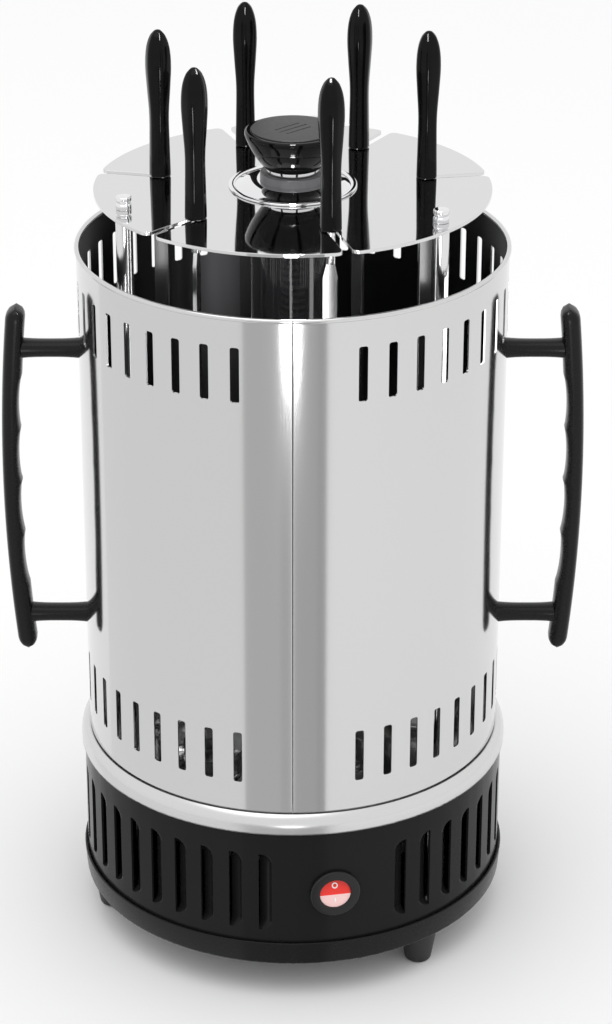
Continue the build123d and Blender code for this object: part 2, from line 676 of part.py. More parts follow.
def skewer_blade(angle, turn):
    """Flat blade with a round shank at the socket and at the plate."""
    tip = SPINDLE_TOP - SOCKET_DEPTH + SEAT_GAP
    low = SPINDLE_TOP + SEAT_GAP + CUT
    high = PLATE_Z - LIFT - CUT
    half, neck = BLADE_W / 2, SHANK_R * BLADE_NECK
    outline = Polyline(
        (-neck, low), (-half, low + BLADE_TAPER), (-half, high - BLADE_TAPER), (-neck, high),
        (neck, high), (half, high - BLADE_TAPER), (half, low + BLADE_TAPER), (neck, low),
        close=True,
    )
    blade = extrude(Plane.XZ * make_face(outline), BLADE_T / 2, both=True)
    blade += Pos(0, 0, tip + TIP_L / 2) * Cone(POINT_R, SHANK_R, TIP_L)
    blade += rod(SHANK_R, tip + TIP_L, low + CUT)
    blade += rod(SHANK_R, high - CUT, PLATE_TOP + TANG_L)
    return station(angle, STATION_R) * Rot(0, 0, turn) * blade


def skewer_handle(angle, turn):
    """Six-sided moulded handle, waisted below and pointed above."""
    foot = PLATE_TOP + SEAT_GAP
    rise = HANDLE_H - SEAT_GAP
    sections = []
    for share, half in HANDLE_SHAPE:
        hexagon = RegularPolygon(half * HEX_SPREAD, 6)
        outline = chamfer(hexagon.vertices(), half * HANDLE_CORNER)
        sections.append(Pos(0, 0, foot + rise * share) * outline)
    grip = loft(sections, ruled=True)
    grip -= rod(SHANK_R + FIT_GAP, foot - CUT, PLATE_TOP + TANG_L + FIT_GAP)
    return station(angle, STATION_R) * Rot(0, 0, turn) * grip


# ---- casing ----


def vent_tools():
    """Upright slots of both rows, from the first one round to the last."""
    slot = Box(4 * CASING_T, VENT_W, VENT_H)
    low = CASING_Z + VENT_EDGE + VENT_H / 2
    high = RIM_Z - VENT_EDGE - VENT_H / 2
    angles = [FRONT + VENT_FIRST + VENT_PITCH * k for k in range(VENT_COUNT)]
    return [Pos(0, 0, z) * place for z in (low, high) for place in ring_of(slot, angles, CASING_R)]


def casing_half():
    """Right half of the casing: sheet, rolled rim, folded seams and vents."""
    bead_z = RIM_Z - RIM_BEAD_R
    sheet = Polyline(
        (CASING_IN_R, 0, CASING_Z), (CASING_R, 0, CASING_Z), (CASING_R, 0, bead_z),
        (CASING_IN_R, 0, bead_z), close=True,
    )
    bead = Plane.XZ * (Pos(CASING_R - CASING_T / 4, bead_z) * RegularPolygon(RIM_BEAD_R, 8))
    shell = revolve(make_face(sheet), Axis.Z, 180) + revolve(bead, Axis.Z, 180)
    shell = Rot(0, 0, FRONT + 180) * Rot(0, 0, 180) * shell
    fold_l = CASING_H - 2 * FOLD_END
    fold_place = Pos(CASING_T / 2, CASING_R - FOLD_W / 2 - CASING_T / 2, CASING_Z + CASING_H / 2)
    fold = fold_place * Box(CASING_T, FOLD_W, fold_l)
    groove = Rot(0, 0, 45) * Box(SEAM_W / math.sqrt(2), SEAM_W / math.sqrt(2), CASING_H + 2 * CUT)
    groove = Pos(0, CASING_R, CASING_Z + CASING_H / 2) * groove
    shell = shell + [fold, mirror(fold, Plane.XZ)] - [groove, mirror(groove, Plane.XZ)]
    bore = Rot(0, 90, 0) * Cylinder(SCREW_R + SLIP_GAP, 4 * CASING_T)
    shell -= [Pos(CASING_R, 0, CASING_Z + z) * bore for z in (ARM_LOW, ARM_HIGH)]
    return shell - vent_tools()


def grip_section(share, thickness, hollow):
    """Return the grip's chamfered outline at a share of its height."""
    bow = 4 * share * (1 - share)
    middle_x = GRIP_END_X + (GRIP_MID_X - GRIP_END_X) * bow
    inner, outer = middle_x - thickness / 2 + hollow, middle_x + thickness / 2
    z = CASING_Z + GRIP_LOW + (GRIP_HIGH - GRIP_LOW) * share
    width = GRIP_W - 2 * (GRIP_T - thickness) / 2
    outline = chamfer(Rectangle(outer - inner, width).vertices(), GRIP_EDGE)
    return Pos((inner + outer) / 2, 0, z) * outline


def side_handle():
    """Right handle: a bowed grip with finger hollows on two arms."""
    length = GRIP_HIGH - GRIP_LOW
    first = 0.5 - FINGER_PITCH * FINGER_COUNT / 2 / length
    sections = [grip_section(0, GRIP_END_T, 0), grip_section(GRIP_END / length, GRIP_T, 0)]
    for k in range(4 * FINGER_COUNT + 1):
        depth = FINGER_DEPTH * (1 - abs(k % 4 - 2) / 2) ** 0.5
        sections.append(grip_section(first + FINGER_PITCH * k / 4 / length, GRIP_T, depth))
    sections += [grip_section(1 - GRIP_END / length, GRIP_T, 0), grip_section(1, GRIP_END_T, 0)]
    grip = loft(sections, ruled=True)
    arm_l = GRIP_END_X - CASING_R + ARM_LAP
    arm = chamfer(Box(arm_l, ARM_W, ARM_H).edges().filter_by(Axis.X), ARM_EDGE)
    for z in (ARM_LOW, ARM_HIGH):
        grip += Pos(GRIP_END_X - arm_l / 2, 0, CASING_Z + z) * arm
    grip -= rod(CASING_R + FIT_GAP, CASING_Z, RIM_Z)
    bore = Rot(0, 90, 0) * Cylinder(SCREW_R + FIT_GAP, SCREW_L)
    return grip - [Pos(CASING_R + SCREW_L / 2, 0, CASING_Z + z) * bore for z in (ARM_LOW, ARM_HIGH)]


def handle_screws():
    """Four screws with heads inside the casing, into the handles' arms."""
    seat_x = math.sqrt(CASING_IN_R**2 - SCREW_HEAD_R**2) - FIT_GAP
    length = CASING_R + SCREW_L - CUT - seat_x
    screw = Pos(seat_x + length / 2, 0, 0) * Rot(0, 90, 0) * Cylinder(SCREW_R, length)
    screw += Pos(seat_x - SCREW_HEAD_H / 2, 0, 0) * Rot(0, 90, 0) * Cylinder(SCREW_HEAD_R, SCREW_HEAD_H)
    places = [Pos(0, 0, CASING_Z + z) * screw for z in (ARM_LOW, ARM_HIGH)]
    return group(places + [Rot(0, 0, 180) * place for place in places])


# ---- knob, standing on the plate ----


def knob_flange():
    """Domed chrome disc under the knob."""
    z, bore_r, crown_r = PLATE_TOP, STUD_R + SLIP_GAP, COLLAR_R - FLANGE_LAP
    dome = bowed((FLANGE_R, z + FLANGE_EDGE), (crown_r, z + FLANGE_H), FLANGE_BULGE)
    return turned([(FLANGE_R - FLANGE_EDGE, z), *dome, (bore_r, z + FLANGE_H), (bore_r, z)])


def knob_collar():
    """Grey band between the flange and the neck."""
    return rod(COLLAR_R, PLATE_TOP + FLANGE_H, PLATE_TOP + COLLAR_Z, STUD_R + SLIP_GAP)


def knob_neck():
    """Chrome ring moulded into the knob's foot."""
    low = PLATE_TOP + COLLAR_Z + SEAT_GAP
    return rod(KNOB_FOOT_R - NECK_INSET, low, PLATE_TOP + KNOB_FOOT_Z, STUD_R + RUN_GAP)


def knob():
    """Black cup-shaped knob, wide at the top, with a blind bore for the stud."""
    foot, top = PLATE_TOP + KNOB_FOOT_Z, PLATE_TOP + KNOB_H
    bore_r, floor, inlay_r = STUD_R + RUN_GAP, top - INLAY_T, KNOB_R - INLAY_INSET
    return turned([
        (bore_r, foot), *bowed((KNOB_FOOT_R, foot), (KNOB_R, top - KNOB_EDGE), KNOB_BULGE),
        (KNOB_R - KNOB_EDGE / 4, top - KNOB_EDGE / 4), (KNOB_R - KNOB_EDGE, top), (inlay_r, top),
        (inlay_r, floor), (0, floor), (0, foot + BORE_L), (bore_r, foot + BORE_L),
    ])


def knob_disc():
    """Matte inlay in the knob's top, with three grip grooves."""
    top = PLATE_TOP + KNOB_H
    r = KNOB_R - INLAY_INSET - RUN_GAP
    disc = turned([
        (0, top - INLAY_T), (r, top - INLAY_T), (r, top - INLAY_EDGE), (r - INLAY_EDGE, top),
        (0, top + INLAY_DOME),
    ])
    length, width, depth = GROOVE
    groove = Pos(0, 0, top + INLAY_DOME) * Box(length, width, depth)
    return disc - [Rot(0, 0, GROOVE_TURN) * Pos(0, k * GROOVE_PITCH, 0) * groove for k in (-1, 0, 1)]


# ---- switch ----


def switch_place():
    """Return the switch's place on the wall, z out of it and y up."""
    return Rot(0, 0, FRONT + SWITCH_AZ) * Pos(WALL_R, 0, SWITCH_Z) * Rot(0, 90, 0) * Rot(0, 0, 90)


def switch_housing():
    """Round bezel with a barrel behind it, open in front for the rocker."""
    body = Pos(0, 0, SWITCH_FLANGE_T / 2) * Cylinder(SWITCH_R, SWITCH_FLANGE_T)
    body = chamfer(body.edges().group_by(Axis.Z)[-1], SWITCH_EDGE)
    body += Pos(0, 0, -BARREL_L / 2) * Cylinder(BARREL_R, BARREL_L)
    well = Cylinder(ROCKER_R + ROCKER_GAP, WELL_DEPTH + SWITCH_FLANGE_T)
    body -= Pos(0, 0, (SWITCH_FLANGE_T - WELL_DEPTH) / 2 + CUT) * well
    axle = Rot(0, 90, 0) * Cylinder(ROCKER_AXLE_R + RUN_GAP, 2 * (BARREL_R - ROCKER_AXLE_END + SLIP_GAP))
    body -= Pos(0, 0, -ROCKER_AXLE_SINK) * axle
    tab_l, tab_t, tab_h = SWITCH_TAB
    tab = Box(tab_l, tab_t, tab_h)
    body += [Pos(0, y, CUT - BARREL_L - tab_h / 2) * tab for y in (-SWITCH_TAB_Y, SWITCH_TAB_Y)]
    return switch_place() * body


def switch_rocker():
    """Rocker with two sloping halves, cut from a ball so that it clears its bore."""
    half = 2 * ROCKER_R
    drop = half * math.tan(math.radians(ROCKER_LOW_ANGLE))
    side = Polyline(
        (-half, -ROCKER_DEPTH), (half, -ROCKER_DEPTH), (half, ROCKER_RIDGE - drop), (0, ROCKER_RIDGE),
        (-half, ROCKER_RIDGE - drop), close=True,
    )
    slab = extrude(Plane.YZ * make_face(side), ROCKER_R + CUT, both=True)
    axle = Rot(0, 90, 0) * Cylinder(ROCKER_AXLE_R, 2 * (BARREL_R - ROCKER_AXLE_END))
    rocker = (Sphere(ROCKER_R) & slab) + axle
    return switch_place() * Pos(0, 0, -ROCKER_AXLE_SINK) * Rot(-ROCKER_TILT, 0, 0) * rocker


def build_parts():
    """Return every sub-part by its name."""
    parts = {
        "base_pan": base_pan(),
        "base_wall": base_wall(),
        "trim_ring": trim_ring(),
        "deck": deck(),
        "feet": feet(),
        "cord_inlet": cord_inlet(),
        "gear_frame": gear_frame(),
        "base_screws": base_screws(),
        "centre_hub": centre_hub(),
        "sun_gear": sun_gear(),
        "station_bushes": station_bushes(),
        "motor": motor(),
        "motor_pinion": motor_pinion(),
        "terminal_block": terminal_block(),
        "posts": posts(),
        "tie_rods": tie_rods(),
        "thumb_nuts": thumb_nuts(),
        "top_plate": top_plate(),
        "heater_socket": heater_socket(),
        "heater_core": heater_core(),
        "heater_coil": heater_coil(),
        "heater_tube": heater_tube(),
        "heater_cap": heater_cap(),
        "knob_flange": knob_flange(),
        "knob_collar": knob_collar(),
        "knob_neck": knob_neck(),
        "knob": knob(),
        "knob_disc": knob_disc(),
        "switch_housing": switch_housing(),
        "switch_rocker": switch_rocker(),
        "handle_screws": handle_screws(),
    }
    half, handle = casing_half(), side_handle()
    parts["casing_right"], parts["casing_left"] = half, mirror(half, Plane.YZ)
    parts["handle_right"], parts["handle_left"] = handle, mirror(handle, Plane.YZ)
    for number, (angle, turn) in enumerate(zip(STATION_ANGLES, SKEWER_TURNS), 1):
        parts[f"station_gear_{number}"] = station_gear(angle)
        parts[f"drip_cup_{number}"] = drip_cup(angle)
        parts[f"skewer_blade_{number}"] = skewer_blade(angle, turn)
        parts[f"skewer_handle_{number}"] = skewer_handle(angle, turn)
    return parts


os.makedirs("parts", exist_ok=True)
for name, shape in build_parts().items():
    export_step(shape, f"parts/{name}.step")
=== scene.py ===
"""Looks of an upright electric skewer grill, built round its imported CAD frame."""

import math

import bmesh
import bpy
from mathutils import Matrix, Vector


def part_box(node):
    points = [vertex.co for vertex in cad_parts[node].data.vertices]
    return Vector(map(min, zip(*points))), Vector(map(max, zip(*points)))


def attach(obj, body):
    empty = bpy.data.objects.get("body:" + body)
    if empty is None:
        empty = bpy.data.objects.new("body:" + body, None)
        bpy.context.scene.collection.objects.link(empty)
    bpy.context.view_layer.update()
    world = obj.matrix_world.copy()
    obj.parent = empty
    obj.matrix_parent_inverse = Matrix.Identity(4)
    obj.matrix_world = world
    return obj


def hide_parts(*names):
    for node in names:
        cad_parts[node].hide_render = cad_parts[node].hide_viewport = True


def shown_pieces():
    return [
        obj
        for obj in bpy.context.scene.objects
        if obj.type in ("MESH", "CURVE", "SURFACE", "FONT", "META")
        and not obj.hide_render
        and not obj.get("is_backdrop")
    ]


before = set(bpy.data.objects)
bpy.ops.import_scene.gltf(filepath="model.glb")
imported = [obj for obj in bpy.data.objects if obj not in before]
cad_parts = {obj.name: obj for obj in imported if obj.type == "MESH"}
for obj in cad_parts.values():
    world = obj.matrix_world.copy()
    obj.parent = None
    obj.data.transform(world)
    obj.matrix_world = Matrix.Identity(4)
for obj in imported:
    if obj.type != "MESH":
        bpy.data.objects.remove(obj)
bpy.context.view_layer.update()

# ---- Camera, floor and light ----
# A long lens looks down on the grill from the front, over a plain pale floor, with a
# white surround and one soft overhead lamp. Dark cards and bright strips that only
# reflections see lie in front of it, as in a studio for polished metal.
MM = 0.001
CAMERA_PLACE = (0.0, -1.3439, 0.8370)
CAMERA_TILT = 64.90
CAMERA_LENS = 108.67
CAMERA_SHIFT = 0.0129

scene = bpy.context.scene
camera = bpy.data.objects.new("camera", bpy.data.cameras.new("camera"))
scene.collection.objects.link(camera)
camera.location = CAMERA_PLACE
camera.rotation_euler = (math.radians(CAMERA_TILT), 0, 0)
camera.data.lens, camera.data.shift_x = CAMERA_LENS, CAMERA_SHIFT
scene.camera = camera
scene.view_settings.view_transform = "Standard"


def surface(name, colour, roughness, metallic=0.0, **sockets):
    """Make a material whose shader's own sockets hold its plain values."""
    material = bpy.data.materials.new(name)
    material.use_nodes = True
    shader = material.node_tree.nodes["Principled BSDF"]
    shader.inputs["Base Color"].default_value = (*colour, 1.0)
    shader.inputs["Roughness"].default_value = roughness
    shader.inputs["Metallic"].default_value = metallic
    for socket, value in sockets.items():
        shader.inputs[socket.replace("_", " ")].default_value = value
    return material


def shaded(mesh, sharp):
    """Smooth a mesh but for edges that bend past an angle in degrees."""
    mesh.polygons.foreach_set("use_smooth", [True] * len(mesh.polygons))
    mesh.set_sharp_from_angle(angle=math.radians(sharp))


def linked(name, mesh):
    """Put a mesh into the scene as a piece."""
    piece = bpy.data.objects.new(name, mesh)
    scene.collection.objects.link(piece)
    return piece


def meshed(name, corners, faces, material, sharp=32.0):
    """Make an object from corners in millimetres, smooth where it bends little."""
    mesh = bpy.data.meshes.new(name)
    mesh.from_pydata([[MM * c for c in corner] for corner in corners], [], faces)
    mesh.materials.append(material)
    shaded(mesh, sharp)
    return linked(name, mesh)


def added(tree, kind, feeds=(), **settings):
    """Add a node; plain values or other nodes' outputs feed its sockets."""
    node = tree.nodes.new(kind)
    for setting, value in settings.items():
        setattr(node, setting, value)
    for socket, source in dict(feeds).items():
        if isinstance(source, bpy.types.NodeSocket):
            tree.links.new(source, node.inputs[socket])
        else:
            node.inputs[socket].default_value = source
    return node


def card(name, corners, strength):
    """Lay a flat white glowing card that only reflections see."""
    glow = bpy.data.materials.new(name)
    glow.use_nodes = True
    tree = glow.node_tree
    tree.nodes.clear()
    lamp = added(tree, "ShaderNodeEmission", {"Color": (1.0, 1.0, 1.0, 1.0), "Strength": strength})
    added(tree, "ShaderNodeOutputMaterial", {"Surface": lamp.outputs["Emission"]})
    sheet = meshed(name, corners, [range(len(corners))], glow)
    for ray in ("camera", "diffuse", "shadow", "transmission", "volume_scatter"):
        setattr(sheet, f"visible_{ray}", False)
    sheet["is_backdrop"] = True


world = bpy.data.worlds.new("white surround")
scene.world = world
world.use_nodes = True
world.node_tree.nodes["Background"].inputs["Color"].default_value = (1.0, 1.0, 1.0, 1.0)
world.node_tree.nodes["Background"].inputs["Strength"].default_value = 1.0
FLOOR_HALF = 30000.0
floor = meshed(
    "floor",
    [(-FLOOR_HALF, -FLOOR_HALF, 0), (FLOOR_HALF, -FLOOR_HALF, 0), (FLOOR_HALF, FLOOR_HALF, 0),
     (-FLOOR_HALF, FLOOR_HALF, 0)],
    [(0, 1, 2, 3)], surface("pale floor", (0.93, 0.93, 0.93), 0.9, Specular_IOR_Level=0.0),
)
floor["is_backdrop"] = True
lamp = bpy.data.objects.new("overhead lamp", bpy.data.lights.new("overhead lamp", "AREA"))
scene.collection.objects.link(lamp)
lamp.data.shape, lamp.data.size, lamp.data.energy = "DISK", 1.6, 6.0
lamp.location = (-0.3, -0.5, 1.9)
lamp.rotation_euler = (Vector((0, 0, 0.2)) - lamp.location).to_track_quat("-Z", "Y").to_euler()
lamp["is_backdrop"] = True

# The casing bends every line of sight outwards, so a card's edge that runs along such a
# line shows on it as an upright edge.
CARD_Z, CARD_REACH = 2.0, 1500.0


def sight_line(azimuth, radius=100.0):
    """Give both ends of the floor line that the casing mirrors at an azimuth."""
    a = math.radians(azimuth)
    start = (radius * math.sin(a), -radius * math.cos(a))
    return start, (start[0] + CARD_REACH * math.sin(2 * a), start[1] - CARD_REACH * math.cos(2 * a))


for place, left, right, strength in (
    ("far left", -62.0, -13.1, 0.90), ("left of the seam", -13.1, -3.2, 0.58),
    ("beside the seam", -3.2, -0.5, 0.52), ("at the seam", -0.5, 0.4, 0.75),
    ("right of the seam", 0.4, 6.6, 0.50), ("far right of the seam", 6.6, 9.0, 0.44),
):
    near_left, far_left = sight_line(left)
    near_right, far_right = sight_line(right)
    ends = (near_left, far_left, far_right, near_right)
    card(f"card {place}", [(*end, CARD_Z) for end in ends], strength)

# Small bright strips: two that the heater's tube and the posts mirror, one over the
# skewers' tips, and one far in front on the floor for the skewers' handles.
STRIP_Z = (200.0, 343.0)
TIP_STRIP, TIP_STRENGTH = [(-10, -5, 560), (10, -5, 560), (10, -92, 505), (-10, -92, 505)], 95.0
HANDLE_STRIP, HANDLE_STRENGTH = [(-75, -900, 4), (45, -900, 4), (60, -1350, 4), (-100, -1350, 4)], 22.0
for side, (x0, y0), (x1, y1), strength in (
    ("left", (-17.0, -97.0), (-5.0, -98.0), 4.0),
    ("right", (78.0, -58.0), (92.0, -30.0), 3.0),
):
    low, high = STRIP_Z
    corners = [(x0, y0, low), (x1, y1, low), (x1, y1, high), (x0, y0, high)]
    card(f"strip {side} of the heater", corners, strength)
card("strip over the tips", TIP_STRIP, TIP_STRENGTH)
card("strip for the handles", HANDLE_STRIP, HANDLE_STRENGTH)

# ---- Casing ----
# Two half shells of polished stainless sheet, folded inwards where they meet in front and
# behind, with two rows of stamped vents and a rolled rim. They lift off together by the
# two side handles.
FRONT = 270.0
CASING_R = 100.0
CASING_T = 0.8
VENT_W, VENT_H, VENT_CORNER = 4.2, 26.0, 1.1
VENT_EDGE, VENT_CELL = 14.5, 5.0
VENT_COUNT, VENT_FIRST, VENT_PITCH = 19, 18.0, 8.18
SEAM_FILLET = 0.8
FOLD_W, FOLD_END = 5.8, 6.0
RIM_BEAD_R = 1.15
HALF_GAP = 0.1


def box_mm(node):
    """Give the box of a CAD node in millimetres."""
    low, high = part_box(node)
    return [c / MM for c in low], [c / MM for c in high]


def on_drum(azimuth, radius, height):
    """Give the point at an azimuth from the front, a radius and a height."""
    a = math.radians(FRONT + azimuth)
    return (radius * math.cos(a), radius * math.sin(a), height)


def grouped(name, kind, inputs, outputs):
    """Start a node group from its sockets; give its tree, its inputs and its end."""
    tree = bpy.data.node_groups.new(name, kind)
    for way, sockets in (("INPUT", inputs), ("OUTPUT", outputs)):
        for socket, sort in sockets.items():
            tree.interface.new_socket(socket, in_out=way, socket_type=f"NodeSocket{sort}")
    return tree, added(tree, "NodeGroupInput").outputs, added(tree, "NodeGroupOutput")


def wear_group():
    """Build the faint wipe marks and waves that all polished sheet carries."""
    inputs = dict.fromkeys(("Gloss", "Mark Depth", "Across", "Upright"), "Float")
    outputs = {"Roughness": "Float", "Height": "Float"}
    tree, given, made = grouped("wipe marks", "ShaderNodeTree", inputs, outputs)
    place = added(tree, "ShaderNodeTexCoord").outputs["Object"]
    across = given["Across"]
    stretch = added(tree, "ShaderNodeCombineXYZ", {"X": across, "Y": across, "Z": given["Upright"]})
    feeds = {0: place, 1: stretch.outputs["Vector"]}
    scaled = added(tree, "ShaderNodeVectorMath", feeds, operation="MULTIPLY")
    feeds = {"Vector": scaled.outputs["Vector"], "Scale": 1.0, "Detail": 5.0}
    noise = added(tree, "ShaderNodeTexNoise", feeds)
    centred = added(tree, "ShaderNodeMath", {0: noise.outputs["Fac"], 1: 0.5}, operation="SUBTRACT")
    feeds = {0: centred.outputs["Value"], 1: given["Mark Depth"], 2: given["Gloss"]}
    rough = added(tree, "ShaderNodeMath", feeds, operation="MULTIPLY_ADD", use_clamp=True)
    tree.links.new(rough.outputs["Value"], made.inputs["Roughness"])
    tree.links.new(noise.outputs["Fac"], made.inputs["Height"])
    return tree


WIPE_MARKS = wear_group()
MARK_RELIEF = 0.0002


def marked(material, gloss, depth, across, upright, bump=0.0):
    """Lay the wipe marks over a material, with a bump where it is asked for."""
    tree = material.node_tree
    shader = tree.nodes["Principled BSDF"]
    values = {"Gloss": gloss, "Mark Depth": depth, "Across": across, "Upright": upright}
    marks = added(tree, "ShaderNodeGroup", values, node_tree=WIPE_MARKS)
    tree.links.new(marks.outputs["Roughness"], shader.inputs["Roughness"])
    if bump:
        feeds = {"Strength": bump, "Distance": MARK_RELIEF, "Height": marks.outputs["Height"]}
        relief = added(tree, "ShaderNodeBump", feeds)
        tree.links.new(relief.outputs["Normal"], shader.inputs["Normal"])
    return material


polished = surface("polished casing steel", (0.645, 0.645, 0.645), 0.1, 1.0)
casing_steel = marked(polished, 0.11, 0.05, 30.0, 3.0)
# The casing's inner face is near black steel: painted shade, for the dark inside of the casing.
casing_inside_painted_shade = marked(surface("painted shade inside the casing", (0.065, 0.065, 0.068), 0.3, 1.0), 0.32, 0.2, 60.0, 6.0)


MESH_OUT = {"Geometry": "Geometry"}


def ended(tree, shape, material, made):
    """End a tree in real faces of one material."""
    real = added(tree, "GeometryNodeRealizeInstances", {"Geometry": shape})
    feeds = {"Geometry": real.outputs["Geometry"], "Material": material}
    finish = added(tree, "GeometryNodeSetMaterial", feeds)
    tree.links.new(finish.outputs["Geometry"], made.inputs["Geometry"])
    return tree


def stood(tree, points, template, angle, given, made):
    """Stand a template on points, each turned by its angle, and end the tree."""
    about_z = added(tree, "ShaderNodeCombineXYZ", {"Z": angle})
    turn = added(tree, "FunctionNodeEulerToRotation", {"Euler": about_z.outputs["Vector"]})
    feeds = {"Points": points, "Instance": template, "Rotation": turn.outputs["Rotation"]}
    stand = added(tree, "GeometryNodeInstanceOnPoints", feeds)
    return ended(tree, stand.outputs["Instances"], given["Material"], made)


def round_the_axis():
    """Build the tree that repeats one template evenly round the upright axis."""
    kinds = {"Geometry": "Geometry", "Count": "Int", "First Angle": "Float", "Pitch": "Float",
             "Material": "Material"}
    tree, given, made = grouped("repeat round the axis", "GeometryNodeTree", kinds, MESH_OUT)
    row = added(tree, "GeometryNodeMeshLine", {"Offset": (0, 0, 0), "Count": given["Count"]})
    index = added(tree, "GeometryNodeInputIndex").outputs["Index"]
    feeds = {0: index, 1: given["Pitch"], 2: given["First Angle"]}
    angle = added(tree, "ShaderNodeMath", feeds, operation="MULTIPLY_ADD")
    return stood(tree, row.outputs["Mesh"], given["Geometry"], angle.outputs["Value"], given, made)


ROUND_THE_AXIS = round_the_axis()


def settle(piece):
    """Turn a piece with a live node tree into a plain mesh."""
    solid = bpy.data.meshes.new_from_object(piece.evaluated_get(bpy.context.evaluated_depsgraph_get()))
    piece.modifiers.clear()
    piece.data = solid
    return piece


def grown(piece, tree, values):
    """Run a tree on a piece, its inputs set by name, and keep the plain mesh."""
    tool = piece.modifiers.new(tree.name, "NODES")
    tool.node_group = tree
    for item in tree.interface.items_tree:
        if item.in_out == "INPUT" and item.name in values:
            tool[item.identifier] = values[item.name]
    return settle(piece)


def repeated(piece, count, first, pitch):
    """Repeat a piece round the axis, angles in degrees, as one plain mesh."""
    return grown(piece, ROUND_THE_AXIS, {
        "Count": count, "First Angle": math.radians(first), "Pitch": math.radians(pitch),
        "Material": piece.data.materials[0],
    })


def joined(name, pieces, gap=0.004):
    """Weld several pieces into one object and drop the doubles."""
    made = bmesh.new()
    for piece in pieces:
        made.from_mesh(piece.data)
    if gap:
        bmesh.ops.remove_doubles(made, verts=made.verts, dist=gap * MM)
    mesh = bpy.data.meshes.new(name)
    made.to_mesh(mesh)
    made.free()
    for material in pieces[0].data.materials:
        mesh.materials.append(material)
    for piece in pieces:
        bpy.data.objects.remove(piece)
    return linked(name, mesh)


def joined_in_place(piece, gap=0.01):
    """Weld a piece's own doubles."""
    made = bmesh.new()
    made.from_mesh(piece.data)
    bmesh.ops.remove_doubles(made, verts=made.verts, dist=gap * MM)
    made.to_mesh(piece.data)
    made.free()
    return piece


def rounded_slot(width, height, corner, steps=4):
    """List the corners of an upright slot, starting at its lower right."""
    points = []
    for quarter, (sx, sy) in enumerate(((1, -1), (1, 1), (-1, 1), (-1, -1))):
        for k in range(steps + 1):
            a = math.radians(90 * (quarter - 1) + 90 * k / steps)
            points.append((sx * (width / 2 - corner) + corner * math.cos(a),
                           sy * (height / 2 - corner) + corner * math.sin(a)))
    return points


def vent_cell(middle_z, half_angle, half_h):
    """Make one bay of sheet with a vent, both faces and the vent's edge."""
    slot = rounded_slot(VENT_W, VENT_H, VENT_CORNER)
    reach = math.radians(half_angle) * CASING_R
    top = [(reach * s, half_h) for s in (0.5, 0.0, -0.5)]
    frame_points = [(reach, -half_h), (reach, half_h), *top, (-reach, half_h), (-reach, -half_h)]
    frame_points += [(reach * s, -half_h) for s in (-0.5, 0.0, 0.5)]
    corners = []
    for radius in (CASING_R, CASING_R - CASING_T):
        for x, z in frame_points + slot:
            corners.append(on_drum(math.degrees(x / CASING_R) - FRONT, radius, middle_z + z))
    nf, ns = len(frame_points), len(slot)
    half, quarter = nf + ns, ns // 4
    # each stretch of the frame is joined to the slot's nearest corners
    outer = [
        [0, 1, nf + quarter, nf + quarter - 1],
        [1, *[nf + k for k in range(2 * quarter - 1, quarter - 1, -1)]],
        [1, 2, nf + 2 * quarter - 1], [2, 3, 4, nf + 2 * quarter, nf + 2 * quarter - 1],
        [4, 5, nf + 2 * quarter], [5, *[nf + k for k in range(3 * quarter - 1, 2 * quarter - 1, -1)]],
        [5, 6, nf + 3 * quarter, nf + 3 * quarter - 1],
        [6, *[nf + k for k in range(4 * quarter - 1, 3 * quarter - 1, -1)]],
        [6, 7, nf + 4 * quarter - 1], [7, 8, 9, nf, nf + 4 * quarter - 1], [9, 0, nf],
        [0, *[nf + k for k in range(quarter - 1, -1, -1)]],
    ]
    faces = outer + [[half + k for k in reversed(face)] for face in outer]
    faces += [[nf + k, nf + (k + 1) % ns, half + nf + (k + 1) % ns, half + nf + k] for k in range(ns)]
    return corners, faces


def drum_normals(piece):
    """Give a drum's faces the normals of the true round, and flat ones elsewhere."""
    mesh = piece.data
    normals = []
    for face in mesh.polygons:
        middle = Vector((face.center.x, face.center.y, 0)).normalized()
        side = face.normal.dot(middle)
        for corner in face.vertices:
            at = mesh.vertices[corner].co
            outward = Vector((at.x, at.y, 0)).normalized()
            normals.append(outward if side > 0.9 else -outward if side < -0.9 else face.normal.copy())
    mesh.polygons.foreach_set("use_smooth", [True] * len(mesh.polygons))
    mesh.normals_split_custom_set(normals)
    return piece


def drum_band(name, stops, low, high, material):
    """Make a band of both faces of the sheet between two heights."""
    corners, faces = [], []
    for azimuth in stops:
        for radius in (CASING_R, CASING_R - CASING_T):
            corners += [on_drum(azimuth, radius, low), on_drum(azimuth, radius, high)]
    for k in range(0, 4 * (len(stops) - 1), 4):
        faces.append((k, k + 4, k + 5, k + 1))
        faces.append((k + 2, k + 3, k + 7, k + 6))
    return meshed(name, corners, faces, material)


casing_low, casing_high = box_mm("casing_right")
CASING_Z, RIM_Z = casing_low[2], casing_high[2]
VENT_ROWS = (CASING_Z + VENT_EDGE + VENT_H / 2, RIM_Z - VENT_EDGE - VENT_H / 2)
CELL_HALF = VENT_H / 2 + VENT_CELL


